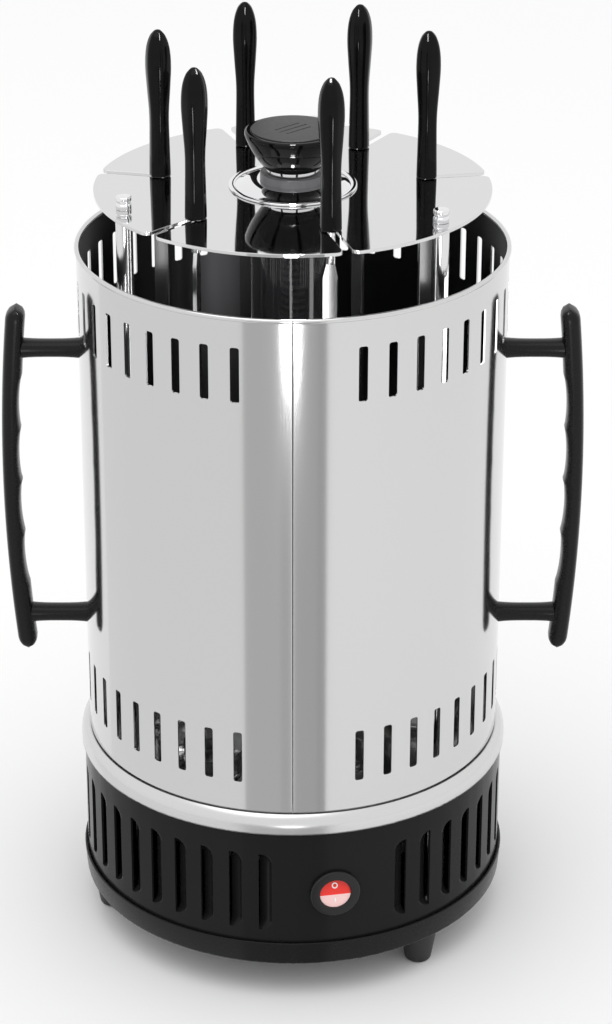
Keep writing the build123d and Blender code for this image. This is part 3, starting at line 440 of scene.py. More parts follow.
def casing_half(name):
    """Weld the right half shell: vent bays, plain bands, seam fillets, folds and the cut lower edge."""
    first, last = VENT_FIRST - VENT_PITCH / 2, VENT_FIRST + VENT_PITCH * (VENT_COUNT - 0.5)
    bays = [first + VENT_PITCH * k / 4 for k in range(4 * VENT_COUNT + 1)]
    edge = math.degrees(SEAM_FILLET / CASING_R)
    before = [edge + (first - edge) * k / 6 for k in range(7)]
    after = [last + (180 - edge - last) * k / 6 for k in range(7)]
    pieces = []
    for number, z in enumerate(VENT_ROWS):
        corners, faces = vent_cell(z, VENT_PITCH / 2, CELL_HALF)
        cell = meshed(f"{name}_bay_{number}", corners, faces, casing_steel)
        pieces.append(repeated(cell, VENT_COUNT, FRONT + VENT_FIRST, VENT_PITCH))
    rim = RIM_Z - RIM_BEAD_R
    levels = [CASING_Z, VENT_ROWS[0] - CELL_HALF, VENT_ROWS[0] + CELL_HALF, VENT_ROWS[1] - CELL_HALF,
              VENT_ROWS[1] + CELL_HALF, rim]
    for k, (low, high) in enumerate(zip(levels, levels[1:])):
        stretches = (before, after) if k in (1, 3) else (before + bays[1:-1] + after,)
        for stops in stretches:
            pieces.append(drum_band(f"{name}_band", stops, low, high, casing_steel))
    # the sheet turns inwards at the seams and ends in the folds
    for far in (0, 1):
        corners = []
        for k in range(7):
            a = math.radians(15 * k)
            out = SEAM_FILLET * (1 - math.sin(a)) + HALF_GAP
            drop = SEAM_FILLET * (1 - math.cos(a))
            azimuth = math.degrees(out / CASING_R) if k else edge
            azimuth = 180 - azimuth if far else azimuth
            corners += [on_drum(azimuth, CASING_R - drop, CASING_Z), on_drum(azimuth, CASING_R - drop, rim)]
        faces = [(2 * k, 2 * k + 1, 2 * k + 3, 2 * k + 2) for k in range(6)]
        if far:
            faces = [tuple(reversed(face)) for face in faces]
        pieces.append(meshed(f"{name}_fillet", corners, faces, casing_steel))
        y = CASING_R - CASING_T / 2 - FOLD_W
        sign = 1 if far else -1
        low, high = CASING_Z + FOLD_END, RIM_Z - FOLD_END
        fold = [(x, sign * r, z) for x in (HALF_GAP, CASING_T) for r in (y, CASING_R - SEAM_FILLET)
                for z in (low, high)]
        sides = [(0, 1, 3, 2), (4, 6, 7, 5), (0, 4, 5, 1), (2, 3, 7, 6), (0, 2, 6, 4), (1, 5, 7, 3)]
        if far:
            sides = [tuple(reversed(face)) for face in sides]
        pieces.append(meshed(f"{name}_fold", fold, sides, casing_steel))
    # the cut lower edge
    stops = before + bays[1:-1] + after
    corners = [on_drum(azimuth, radius, CASING_Z)
               for azimuth in stops for radius in (CASING_R, CASING_R - CASING_T)]
    faces = [(2 * k, 2 * k + 1, 2 * k + 3, 2 * k + 2) for k in range(len(stops) - 1)]
    pieces.append(meshed(f"{name}_edge", corners, faces, casing_steel))
    return joined(name, pieces)


def rim_roll(name):
    """Make the rolled rim of the right half, closed at both ends."""
    steps, sides, start, reach, size = 96, 14, 0.1, 179.8, RIM_BEAD_R * 0.99
    middle, height = CASING_R - CASING_T / 2, RIM_Z - RIM_BEAD_R
    corners, faces = [], []
    for k in range(steps + 1):
        azimuth = start + reach * k / steps
        for s in range(sides):
            a = 2 * math.pi * s / sides
            corners.append(on_drum(azimuth, middle + size * math.cos(a), height + size * math.sin(a)))
    for k in range(steps):
        for s in range(sides):
            t = (s + 1) % sides
            faces.append((k * sides + s, (k + 1) * sides + s, (k + 1) * sides + t, k * sides + t))
    faces.append(tuple(range(sides)))
    faces.append(tuple(reversed(range(steps * sides, (steps + 1) * sides))))
    return meshed(name, corners, faces, casing_steel, 60.0)


def paint_inside_shade(piece):
    """Paint the sheet's inner face near black: painted shade for the casing's dark inside."""
    piece.data.materials.append(casing_inside_painted_shade)
    for face in piece.data.polygons:
        middle = Vector((face.center.x, face.center.y, 0)).normalized()
        if face.normal.dot(middle) < -0.5:
            face.material_index = 1
    return piece


def half_turned(piece, name):
    """Make the left shell, the same pressing as the right one turned half round."""
    twin = piece.copy()
    twin.data = piece.data.copy()
    twin.name = twin.data.name = name
    twin.data.transform(Matrix.Rotation(math.pi, 4, "Z"))
    scene.collection.objects.link(twin)
    return twin


right_shell = paint_inside_shade(casing_half("casing_shell_right"))
left_shell = half_turned(right_shell, "casing_shell_left")
right_rim = rim_roll("casing_rim_right")
left_rim = half_turned(right_rim, "casing_rim_left")
for shell, rim, node in ((right_shell, right_rim, "casing_right"), (left_shell, left_rim, "casing_left")):
    drum_normals(shell)
    for piece in (shell, rim):
        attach(piece, "casing")
        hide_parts(node)

# ---- Trim ring ----
# A satin steel ring, spun from sheet, that caps the base. Its upper edge is a narrow
# ledge for the casing, and a spigot inside it centres the two half shells.
RING_SIDE_H, RING_BULGE, RING_LEDGE, RING_GAP = 3.0, 0.95, 0.9, 0.8
SPIGOT_R, SPIGOT_H, SPIGOT_SEAT_R, RING_IN_R, RING_T = 98.7, 4.0, 97.4, 93.3, 1.5


def eased(points, steps=4):
    """Round the corners of an outline; each point is (r, z) or (r, z, ease)."""
    made = []
    count = len(points)
    for k, point in enumerate(points):
        at = Vector(point[:2])
        if len(point) < 3 or point[2] == 0:
            made.append(tuple(at))
            continue
        before, after = Vector(points[k - 1][:2]), Vector(points[(k + 1) % count][:2])
        a = at + (before - at).normalized() * point[2]
        b = at + (after - at).normalized() * point[2]
        for s in range(steps + 1):
            t = s / steps
            made.append(tuple(a * (1 - t) ** 2 + at * 2 * t * (1 - t) + b * t * t))
    return made


def bowed(start, end, bulge, steps=10):
    """List the points of a shallow curve that bulges to the right of its way."""
    (r0, z0), (r1, z1) = start, end
    length = math.hypot(r1 - r0, z1 - z0)
    return [
        (r0 + (r1 - r0) * t + (z1 - z0) * 4 * bulge * t * (1 - t) / length,
         z0 + (z1 - z0) * t - (r1 - r0) * 4 * bulge * t * (1 - t) / length)
        for t in (k / steps for k in range(steps + 1))
    ]


def turned(name, outline, material, segments=160, sharp=32.0):
    """Spin a closed outline of (radius, height) points round the upright axis."""
    corners, faces, first = [], [], []
    for r, z in outline:
        first.append(len(corners))
        count = segments if r > 1e-6 else 1
        for k in range(count):
            a = 2 * math.pi * k / segments
            corners.append((r * math.cos(a), r * math.sin(a), z))
    for k, (r, _) in enumerate(outline):
        n = (k + 1) % len(outline)
        on_axis, next_on_axis = r <= 1e-6, outline[n][0] <= 1e-6
        if on_axis and next_on_axis:
            continue
        for s in range(segments):
            t = (s + 1) % segments
            ring = [first[k] + (0 if on_axis else s), first[k] + (0 if on_axis else t),
                    first[n] + (0 if next_on_axis else t), first[n] + (0 if next_on_axis else s)]
            faces.append(tuple(dict.fromkeys(ring)))
    return meshed(name, corners, faces, material, sharp)


def fitted(piece, body, slot, *nodes):
    """Let a piece ride on its body and stand for its CAD nodes; its slot is not used."""
    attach(piece, body)
    if nodes:
        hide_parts(*nodes)
    return piece


satin = surface("satin trim steel", (0.66, 0.66, 0.66), 0.25, 1.0)
satin_steel = marked(satin, 0.24, 0.12, 12.0, 900.0, 0.05)
ring_low, ring_high = box_mm("trim_ring")
RING_Z, RING_R = ring_low[2], ring_high[0]
LEDGE_Z = CASING_Z - RING_GAP
ring_side = bowed((RING_R, RING_Z + RING_SIDE_H), (CASING_R + RING_LEDGE, LEDGE_Z), RING_BULGE)
fitted(turned("trim_ring_spun", [
    (RING_IN_R, RING_Z), *eased([(RING_R - 0.1, RING_Z, 1.1), ring_side[0]])[:-1], *ring_side,
    (SPIGOT_R, LEDGE_Z), (SPIGOT_R, LEDGE_Z + SPIGOT_H), (SPIGOT_SEAT_R, LEDGE_Z + SPIGOT_H),
    (SPIGOT_SEAT_R, RING_Z + RING_T), (RING_IN_R, RING_Z + RING_T),
], satin_steel, 256), "base", "satin_steel", "trim_ring")

# ---- Base wall ----
# A drum of steel sheet in gloss black enamel. Its louvres are slit on one side and
# pressed inwards, and open away from the switch on both sides.
WALL_R, WALL_T = 102.8, 1.2
LOUVRE_W, LOUVRE_H, LOUVRE_DEPTH, LOUVRE_TOP, LOUVRE_END = 6.2, 41.0, 4.0, 11.3, 5.0
LOUVRE_PITCH = 8.0
CREASE_DEPTH, CREASE_RUN, CREASE_FADE = 0.7, 0.9, 0.35
LEFT_FIRST, LEFT_COUNT, RIGHT_FIRST, RIGHT_COUNT = -9.0, 21, 31.5, 17
WINDOW_R = 10.05

enamel = marked(surface("gloss black enamel", (0.011, 0.011, 0.0113), 0.2, Specular_IOR_Level=0.1),
                0.2, 0.08, 50.0, 50.0, 0.02)
wall_low, wall_high = box_mm("base_wall")
WALL_Z, WALL_TOP = wall_low[2], wall_high[2]


def press(across, along):
    """Give the depth of a louvre's leaf at shares of its width and height, its ends arched."""
    from_end = min(along, 1 - along) * LOUVRE_H
    lost = max(0.0, 1 - from_end / LOUVRE_END)
    start = LOUVRE_END * (1 - math.sqrt(1 - lost * lost))
    run = across * LOUVRE_W - start
    if run <= 0:
        return 0.0
    share = run / (LOUVRE_W - start)
    crease = CREASE_DEPTH * min(1.0, run / CREASE_RUN) * (1 - CREASE_FADE * lost)
    return crease + (LOUVRE_DEPTH - CREASE_DEPTH) * share * (1 - lost**3)


def louvre_bay(name):
    """Make one bay of wall, azimuth 0, with a louvre that opens towards +Y."""
    half = math.radians(LOUVRE_PITCH / 2) * WALL_R
    high = WALL_TOP - LOUVRE_TOP
    low = high - LOUVRE_H
    across, ends = 10, 12
    columns = [-half] + [LOUVRE_W * k / across - LOUVRE_W for k in range(across + 1)] + [half]
    arch = [LOUVRE_END * (k / ends) ** 1.5 for k in range(ends + 1)]
    middle = [LOUVRE_END + (LOUVRE_H - 2 * LOUVRE_END) * k / 8 for k in range(1, 8)]
    rows = [low + z for z in arch + middle] + [high - z for z in reversed(arch)]
    last = len(rows)
    rows = [WALL_Z, *rows, WALL_TOP]
    corners, faces, index = [], [], {}

    def corner(i, j, depth):
        key = (i, j, round(depth, 4))
        if key not in index:
            index[key] = len(corners)
            a = columns[i] / WALL_R
            corners.append(((WALL_R - depth) * math.cos(a), (WALL_R - depth) * math.sin(a), rows[j]))
        return index[key]

    def depth_at(i, j):
        inside = 1 <= i <= across + 1 and 1 <= j <= last
        return press((columns[i] - columns[1]) / LOUVRE_W, (rows[j] - low) / LOUVRE_H) if inside else 0.0

    for i in range(len(columns) - 1):
        for j in range(len(rows) - 1):
            leaf = 1 <= i < across + 1 and 1 <= j < last
            cell = [(i, j), (i + 1, j), (i + 1, j + 1), (i, j + 1)]
            faces.append([corner(a, b, depth_at(a, b) if leaf else 0.0) for a, b in cell])
    faces = [face for face in faces if len(set(face)) > 2]
    return meshed(name, corners, faces, enamel)


def wall_plain(name, start, end):
    """Make the plain wall between two azimuths."""
    count = max(2, round((end - start) / 2.0))
    stops = [start + (end - start) * k / count for k in range(count + 1)]
    corners = [on_drum(a, WALL_R, z) for a in stops for z in (WALL_Z, WALL_TOP)]
    faces = [(2 * k, 2 * k + 2, 2 * k + 3, 2 * k + 1) for k in range(count)]
    return meshed(name, corners, faces, enamel)


def thickened(piece):
    """Give a sheet its thickness, inwards."""
    wall = piece.modifiers.new("sheet", "SOLIDIFY")
    wall.thickness, wall.offset = WALL_T * MM, -1.0
    return settle(piece)


right_bays = repeated(louvre_bay("bays_right"), RIGHT_COUNT, FRONT + RIGHT_FIRST, LOUVRE_PITCH)
left_bay = louvre_bay("bays_left")
left_bay.data.transform(Matrix.Scale(-1, 4, (0, 1, 0)))
left_bay.data.flip_normals()
left_bays = repeated(left_bay, LEFT_COUNT, FRONT + LEFT_FIRST, -LOUVRE_PITCH)
half_bay = LOUVRE_PITCH / 2
left_end = LEFT_FIRST - LOUVRE_PITCH * (LEFT_COUNT - 1) - half_bay
right_end = RIGHT_FIRST + LOUVRE_PITCH * (RIGHT_COUNT - 1) + half_bay
wall_front = wall_plain("wall_front", LEFT_FIRST + half_bay, RIGHT_FIRST - half_bay)
wall_back = wall_plain("wall_back", right_end, 360 + left_end)


def bored(piece, place, axis, radius, length=30.0):
    """Cut a round hole along an axis through a piece."""
    tool = bmesh.new()
    bmesh.ops.create_cone(tool, cap_ends=True, segments=64, radius1=radius * MM, radius2=radius * MM,
                          depth=length * MM)
    mesh = bpy.data.meshes.new("bit")
    tool.to_mesh(mesh)
    tool.free()
    turn = Vector(axis).to_track_quat("Z", "Y").to_matrix().to_4x4()
    mesh.transform(Matrix.Translation(Vector(place) * MM) @ turn)
    bit = linked("bit", mesh)
    cut = piece.modifiers.new("hole", "BOOLEAN")
    cut.operation, cut.solver, cut.object = "DIFFERENCE", "EXACT", bit
    settle(piece)
    bpy.data.objects.remove(bit)
    return piece


SWITCH_AZ, SWITCH_DROP = 11.1, 32.4
SWITCH_Z = RING_Z - SWITCH_DROP
switch_out = Vector(on_drum(SWITCH_AZ, 1.0, 0.0))
inlet_low, inlet_high = box_mm("cord_inlet")
INLET_Z, INLET_R = (inlet_low[2] + inlet_high[2]) / 2, 6.0
thickened(wall_front)
bored(wall_front, on_drum(SWITCH_AZ, WALL_R, SWITCH_Z), switch_out, WINDOW_R)
thickened(wall_back)
bored(wall_back, on_drum(180.0, WALL_R, INLET_Z), (0, 1, 0), INLET_R + 0.1)
for bays in (right_bays, left_bays):
    thickened(joined_in_place(bays))
wall = joined("base_wall_sheet", [wall_front, wall_back, right_bays, left_bays], 0.0)
shaded(wall.data, 40)
fitted(wall, "base", "black_enamel", "base_wall")

# ---- Base pan ----
# A black moulded tray closes the base from below. Its lip holds the wall in a groove, and
# its foot edge is rounded over.
PAN_R, PAN_LIP_R, PAN_LIP_T, PAN_RIB_T, PAN_T = 103.5, 104.5, 1.3, 1.6, 2.5
black_moulding = marked(surface("black moulding", (0.006, 0.006, 0.0063), 0.28, Specular_IOR_Level=0.2),
                        0.27, 0.1, 300.0, 300.0, 0.08)
pan_low, pan_high = box_mm("base_pan")
PAN_Z, PAN_TOP = pan_low[2], pan_high[2]
PAN_GAP = 0.1
rib_r = WALL_R - WALL_T - PAN_GAP
pan = turned("base_pan_tray", eased([
    (0, PAN_Z), (PAN_R, PAN_Z, 1.2), (PAN_LIP_R, PAN_TOP, 0.6), (PAN_LIP_R - PAN_LIP_T, PAN_TOP, 0.4),
    (PAN_LIP_R - PAN_LIP_T, WALL_Z - PAN_GAP), (rib_r, WALL_Z - PAN_GAP), (rib_r, PAN_TOP),
    (rib_r - PAN_RIB_T, PAN_TOP), (rib_r - PAN_RIB_T, PAN_Z + PAN_T), (0, PAN_Z + PAN_T),
]), black_moulding, 256)
fitted(pan, "base", "black_moulded", "base_pan")


def finished(node, material):
    """Keep a CAD node's own shape and give it its finish."""
    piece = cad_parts[node]
    piece.data.materials.clear()
    piece.data.materials.append(material)
    return piece


def softened(node, body, slot, material, width=0.25, sharp=30.0):
    """Stand a copy of a CAD node in its place, with its cut edges eased."""
    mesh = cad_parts[node].data.copy()
    mesh.name = f"{node}_eased"
    shape = bmesh.new()
    shape.from_mesh(mesh)
    bmesh.ops.remove_doubles(shape, verts=shape.verts, dist=0.002 * MM)
    bmesh.ops.dissolve_limit(shape, angle_limit=math.radians(0.6), verts=shape.verts, edges=shape.edges)
    shape.to_mesh(mesh)
    shape.free()
    mesh.materials.clear()
    mesh.materials.append(material)
    shaded(mesh, sharp)
    piece = linked(f"{node}_eased", mesh)
    if width:
        ease = piece.modifiers.new("eased edges", "BEVEL")
        ease.width, ease.segments, ease.limit_method = width * MM, 2, "ANGLE"
        ease.angle_limit, ease.harden_normals = math.radians(sharp), True
        settle(piece)
    return fitted(piece, body, slot, node)


# ---- Cord inlet ----
# A dark rubber bush is pressed into a round hole in the back of the wall. Its bore is the
# way in for a supply lead, and its flange hides the edge of the hole.
INLET_FLANGE_R, INLET_BORE_R, INLET_PROUD, INLET_BACK, INLET_SEAT = 8.5, 3.6, 2.9, 5.5, 0.9
rubber = surface("dark rubber", (0.022, 0.022, 0.022), 0.5, Specular_IOR_Level=0.4)
inlet = turned("cord_inlet_bush", eased([
    (INLET_BORE_R, -INLET_BACK, 0.6), (INLET_R, -INLET_BACK, 0.6), (INLET_R, -INLET_SEAT),
    (INLET_FLANGE_R, -INLET_SEAT, 0.6), (INLET_R + 0.6, INLET_PROUD, 0.9), (INLET_BORE_R, INLET_PROUD, 0.9),
]), rubber, 48)
to_back = Matrix.Translation((0, WALL_R * MM, INLET_Z * MM)) @ Matrix.Rotation(-math.pi / 2, 4, "X")
inlet.data.transform(to_back)
fitted(inlet, "base", "rubber", "cord_inlet")

# ---- Feet ----
# Three tapered feet of dark rubber stand under the pan, evenly spaced, and lift the grill
# off the table.
FOOT_ANGLE, FOOT_STATION_R, FOOT_TOP_R, FOOT_END_R = 71.5, 92.0, 9.3, 6.2
foot = turned("feet_moulded", eased([
    (0, 0.02), (FOOT_END_R, 0.02, 2.0), (FOOT_TOP_R, PAN_Z), (0, PAN_Z),
]), rubber, 40)
foot.data.transform(Matrix.Translation((FOOT_STATION_R * MM, 0, 0)))
fitted(repeated(foot, 3, FOOT_ANGLE, 120.0), "base", "rubber", "feet")

# ---- Side handles ----
# Two black moulded grips stand off the casing on round arms, bowed outwards, with four
# finger hollows on the inner side. Screws from inside the casing hold the arms.
GRIP_END_X, GRIP_MID_X, GRIP_LOW, GRIP_HIGH = 129.0, 133.6, 36.6, 213.0
GRIP_T, GRIP_W, GRIP_ROUND = 9.2, 14.0, 5.0
ARM_HEIGHTS, ARM_H, ARM_W = (54.0, 192.5), 9.2, 10.6
FINGER_PITCH, FINGER_COUNT, FINGER_DEPTH = 27.0, 4, 1.3


def softened_box(half_x, half_y, steps, power=2.8):
    """List the points of a rounded section."""
    points = []
    for k in range(steps):
        a = 2 * math.pi * k / steps
        c, s = math.cos(a), math.sin(a)
        points.append((half_x * math.copysign(abs(c) ** (2 / power), c),
                       half_y * math.copysign(abs(s) ** (2 / power), s)))
    return points


def lofted(name, sections, material, sharp=50.0):
    """Skin a row of equal sections and close both ends."""
    sides = len(sections[0])
    corners = [point for section in sections for point in section]
    faces = []
    for k in range(len(sections) - 1):
        for s in range(sides):
            t = (s + 1) % sides
            faces.append((k * sides + s, k * sides + t, (k + 1) * sides + t, (k + 1) * sides + s))
    faces.append(tuple(reversed(range(sides))))
    faces.append(tuple(range((len(sections) - 1) * sides, len(sections) * sides)))
    return meshed(name, corners, faces, material, sharp)


def grip(name):
    """Loft the right grip, its ends rounded over and its inner side hollowed."""
    sections, count = [], 110
    for k in range(count + 1):
        share = k / count
        z = GRIP_LOW + (GRIP_HIGH - GRIP_LOW) * share
        middle = GRIP_END_X + (GRIP_MID_X - GRIP_END_X) * 4 * share * (1 - share)
        from_end = min(share, 1 - share) * (GRIP_HIGH - GRIP_LOW)
        end = 1.0 if from_end > GRIP_ROUND else math.sqrt(max(0.02, 1 - (1 - from_end / GRIP_ROUND) ** 2))
        along = (z - (GRIP_LOW + GRIP_HIGH) / 2) / FINGER_PITCH + FINGER_COUNT / 2
        hollow = 0.0
        if 0 < along < FINGER_COUNT:
            hollow = FINGER_DEPTH * abs(math.sin(math.pi * along)) ** 0.6
        half_t, half_w = GRIP_T / 2 * end, GRIP_W / 2 * (0.6 + 0.4 * end)
        section = []
        for x, y in softened_box(half_t, half_w, 36):
            inward = max(0.0, -x / half_t) if half_t else 0.0
            section.append((middle + x + hollow * inward, y, CASING_Z + z))
        sections.append(section)
    return lofted(name, sections, black_moulding)


def arm(name, height):
    """Loft one right arm from the casing into the grip, thicker where it meets each."""
    sections = []
    for k in range(15):
        share = k / 14
        x = CASING_R + 0.02 + (GRIP_END_X - 2.0 - CASING_R) * share
        swell = 1.0 + 0.12 * (2 * abs(share - 0.5)) ** 3
        half_w, half_h = ARM_W / 2 * swell / 1.12, ARM_H / 2 * swell / 1.12
        section = []
        for y, z in softened_box(half_w, half_h, 28, 2.4):
            lap = math.sqrt(CASING_R**2 - y**2) - CASING_R if k == 0 else 0.0
            section.append((x + lap, y, CASING_Z + height + z))
        sections.append(section)
    return lofted(name, sections, black_moulding)


for side in ("right", "left"):
    parts = [grip(f"handle_{side}_grip")]
    parts += [arm(f"handle_{side}_arm_{k}", height) for k, height in enumerate(ARM_HEIGHTS, 1)]
    for number, piece in enumerate(parts):
        if side == "left":
            piece.data.transform(Matrix.Scale(-1, 4, (1, 0, 0)))
            piece.data.flip_normals()
        fitted(piece, "casing", "black_moulded", f"handle_{side}")

bright_steel = marked(surface("bright drawn steel", (0.74, 0.74, 0.74), 0.16, 1.0), 0.17, 0.1, 80.0, 20.0)
finished("handle_screws", bright_steel)

# ---- Deck and drip cups ----
# A round steel floor carries six pressed cups, one under each skewer. Each cup has a
# chimney in the middle that keeps fat off the spindle.
STATION_ANGLES = (10.0, 60.0, 111.0, 168.0, 226.5, 285.5)
STATION_R = 62.5
CUP_R, CUP_H, CUP_T, CUP_RUN, CUP_RISE, CHIMNEY_R = 22.0, 16.0, 0.8, 3.0, 4.0, 8.85
DECK_TOP = box_mm("deck")[1][2]


def at_points():
    """Build the tree that stands a template at points, turned away from the axis."""
    kinds = {"Geometry": "Geometry", "Template": "Object", "Material": "Material"}
    tree, given, made = grouped("stand at stations", "GeometryNodeTree", kinds, MESH_OUT)
    template = added(tree, "GeometryNodeObjectInfo", {"Object": given["Template"]})
    position = added(tree, "GeometryNodeInputPosition").outputs["Position"]
    place = added(tree, "ShaderNodeSeparateXYZ", {"Vector": position}).outputs
    angle = added(tree, "ShaderNodeMath", {0: place["Y"], 1: place["X"]}, operation="ARCTAN2")
    shape = template.outputs["Geometry"]
    return stood(tree, given["Geometry"], shape, angle.outputs["Value"], given, made)


AT_POINTS = at_points()


def stationed(name, template, angles, radius):
    """Stand a template at several angles of one radius, as one plain mesh."""
    points = [(radius * math.cos(math.radians(a)), radius * math.sin(math.radians(a)), 0) for a in angles]
    material = template.data.materials[0]
    row = meshed(name, points, [], material)
    grown(row, AT_POINTS, {"Template": template, "Material": material})
    bpy.data.objects.remove(template)
    return row


edge = DECK_TOP + CUP_H
cup = turned("cup", eased([
    (CHIMNEY_R, DECK_TOP), (CUP_R - CUP_RUN, DECK_TOP, 1.0), (CUP_R, DECK_TOP + CUP_RISE, 1.2),
    (CUP_R, edge, 0.35), (CUP_R - CUP_T, edge, 0.35), (CUP_R - CUP_T, DECK_TOP + CUP_RISE, 1.2),
    (CUP_R - CUP_T - CUP_RUN, DECK_TOP + CUP_T, 1.0), (CHIMNEY_R + CUP_T, DECK_TOP + CUP_T),
    (CHIMNEY_R + CUP_T, edge - 1.0), (CHIMNEY_R, edge - 1.0),
], 3), bright_steel, 64)
fitted(stationed("drip_cups_pressed", cup, STATION_ANGLES, STATION_R), "base", "bright_steel",
       *[f"drip_cup_{n}" for n in range(1, 7)])
softened("deck", "base", "bright_steel", bright_steel, 0.0)

# ---- Gear train and base inside ----
# Die-cast gears, sintered bushes, the motor's plated can and the ceramic terminal block
# keep their CAD shapes: the base hides them.
die_cast = surface("die-cast gear metal", (0.52, 0.52, 0.53), 0.38, 1.0)
gear_metal = marked(die_cast, 0.38, 0.15, 120.0, 120.0, 0.1)
station_gears = [f"station_gear_{n}" for n in range(1, 7)]
gears = ["gear_frame", "centre_hub", "sun_gear", "motor_pinion"] + station_gears
bronze = surface("sintered bronze", (0.48, 0.30, 0.13), 0.42, 1.0)
zinc = marked(surface("zinc-plated can", (0.58, 0.59, 0.62), 0.3, 1.0), 0.3, 0.15, 60.0, 60.0)
ceramic = marked(surface("unglazed ceramic", (0.78, 0.75, 0.68), 0.7), 0.7, 0.2, 400.0, 400.0, 0.15)
for nodes, material in (
    (gears, gear_metal),
    (["station_bushes"], bronze), (["motor"], zinc), (["terminal_block", "heater_core"], ceramic),
    (["base_screws", "tie_rods"], bright_steel),
):
    for node in nodes:
        finished(node, material)

# ---- Heater ----
# A wound ceramic core stands in a quartz tube between a ceramic cup on the deck and a
# steel cap under the plate. The wire is one long spiral.
TUBE_R, TUBE_T, CORE_R, COIL_T, COIL_PITCH = 15.0, 1.6, 6.0, 1.5, 3.4
heating_wire = surface("oxidised heating wire", (0.16, 0.14, 0.13), 0.5, 0.8)
quartz = surface("smoked quartz", (0.16, 0.16, 0.17), 0.06, Transmission_Weight=0.7, IOR=1.6)
tube_low, tube_high = box_mm("heater_tube")
coil_low, coil_high = box_mm("heater_coil")
fitted(turned("heater_tube_drawn", eased([
    (TUBE_R - TUBE_T, tube_low[2]), (TUBE_R, tube_low[2]), (TUBE_R, tube_high[2], 0.6),
    (TUBE_R - TUBE_T, tube_high[2], 0.6),
]), quartz, 96), "base", "quartz_glass", "heater_tube")


def winding():
    """Build the tree that sweeps a round wire along a rising spiral."""
    kinds = {"Geometry": "Geometry", "Turns": "Float", "Height": "Float", "Radius": "Float",
             "Foot": "Float", "Wire Radius": "Float", "Material": "Material"}
    tree, given, made = grouped("wound wire", "GeometryNodeTree", kinds, MESH_OUT)
    spiral = added(tree, "GeometryNodeCurveSpiral", {
        "Resolution": 24, "Rotations": given["Turns"], "Height": given["Height"],
        "Start Radius": given["Radius"], "End Radius": given["Radius"],
    })
    lift = added(tree, "ShaderNodeCombineXYZ", {"Z": given["Foot"]})
    feeds = {"Geometry": spiral.outputs["Curve"], "Translation": lift.outputs["Vector"]}
    raised = added(tree, "GeometryNodeTransform", feeds)
    feeds = {"Resolution": 6, "Radius": given["Wire Radius"]}
    section = added(tree, "GeometryNodeCurvePrimitiveCircle", feeds)
    swept = added(tree, "GeometryNodeCurveToMesh", {
        "Fill Caps": True, "Curve": raised.outputs["Geometry"], "Profile Curve": section.outputs["Curve"],
    })
    return ended(tree, swept.outputs["Mesh"], given["Material"], made)


coil = meshed("heater_winding", [(0, 0, 0)], [], heating_wire)
wire_r = COIL_T / 2
coil_h = coil_high[2] - coil_low[2] - 2 * wire_r
grown(coil, winding(), {
    "Turns": coil_h / COIL_PITCH, "Height": coil_h * MM, "Radius": (CORE_R + wire_r) * MM,
    "Foot": (coil_low[2] + wire_r) * MM, "Wire Radius": wire_r * MM, "Material": heating_wire,
})
coil.data.polygons.foreach_set("use_smooth", [True] * len(coil.data.polygons))
fitted(coil, "base", "heating_wire", "heater_coil")
softened("heater_socket", "base", "ceramic", ceramic, 0.5)
softened("heater_cap", "base", "bright_steel", bright_steel, 0.3)

# ---- Top plate, posts and thumb nuts ----
# A mirror-polished disc with six slots open to its edge rests on three steel tubes. A long
# bolt runs up through each tube to a chromed thumb nut.
POST_ANGLES, POST_STATION_R, POST_R, POST_BORE_R = (83.0, 203.0, 323.0), 82.3, 3.9, 2.4
NUT_R, NUT_H, NUT_WAIST, NUT_EDGE, NUT_BORE_R, NUT_CAP_T = 3.6, 6.0, 0.9, 0.7, 2.02, 0.8
mirror_steel = marked(surface("mirror plate steel", (0.69, 0.69, 0.69), 0.03, 1.0), 0.04, 0.03, 20.0, 20.0)
chrome = surface("bright chrome", (0.80, 0.80, 0.81), 0.04, 1.0)
plate_low, plate_high = box_mm("top_plate")
PLATE_Z, PLATE_TOP = plate_low[2], plate_high[2]
softened("top_plate", "base", "mirror_steel", mirror_steel, 0.35)
tube = [(POST_BORE_R, DECK_TOP), (POST_R, DECK_TOP), (POST_R, PLATE_Z), (POST_BORE_R, PLATE_Z)]
post = turned("post", tube, bright_steel, 40)
fitted(stationed("posts_drawn", post, POST_ANGLES, POST_STATION_R), "base", "bright_steel", "posts")
middle, nut_top = PLATE_TOP + NUT_H / 2, PLATE_TOP + NUT_H
nut = turned("nut", eased([
    (NUT_BORE_R, PLATE_TOP), (NUT_R, PLATE_TOP, 0.4), (NUT_R, middle - NUT_WAIST, 0.5),
    (NUT_R - NUT_WAIST, middle, 0.5), (NUT_R, middle + NUT_WAIST, 0.5), (NUT_R, nut_top, NUT_EDGE),
    (0, nut_top), (0, nut_top - NUT_CAP_T), (NUT_BORE_R, nut_top - NUT_CAP_T),
]), chrome, 40)
nuts = stationed("thumb_nuts_turned", nut, POST_ANGLES, POST_STATION_R)
fitted(nuts, "base", "bright_steel", "thumb_nuts")

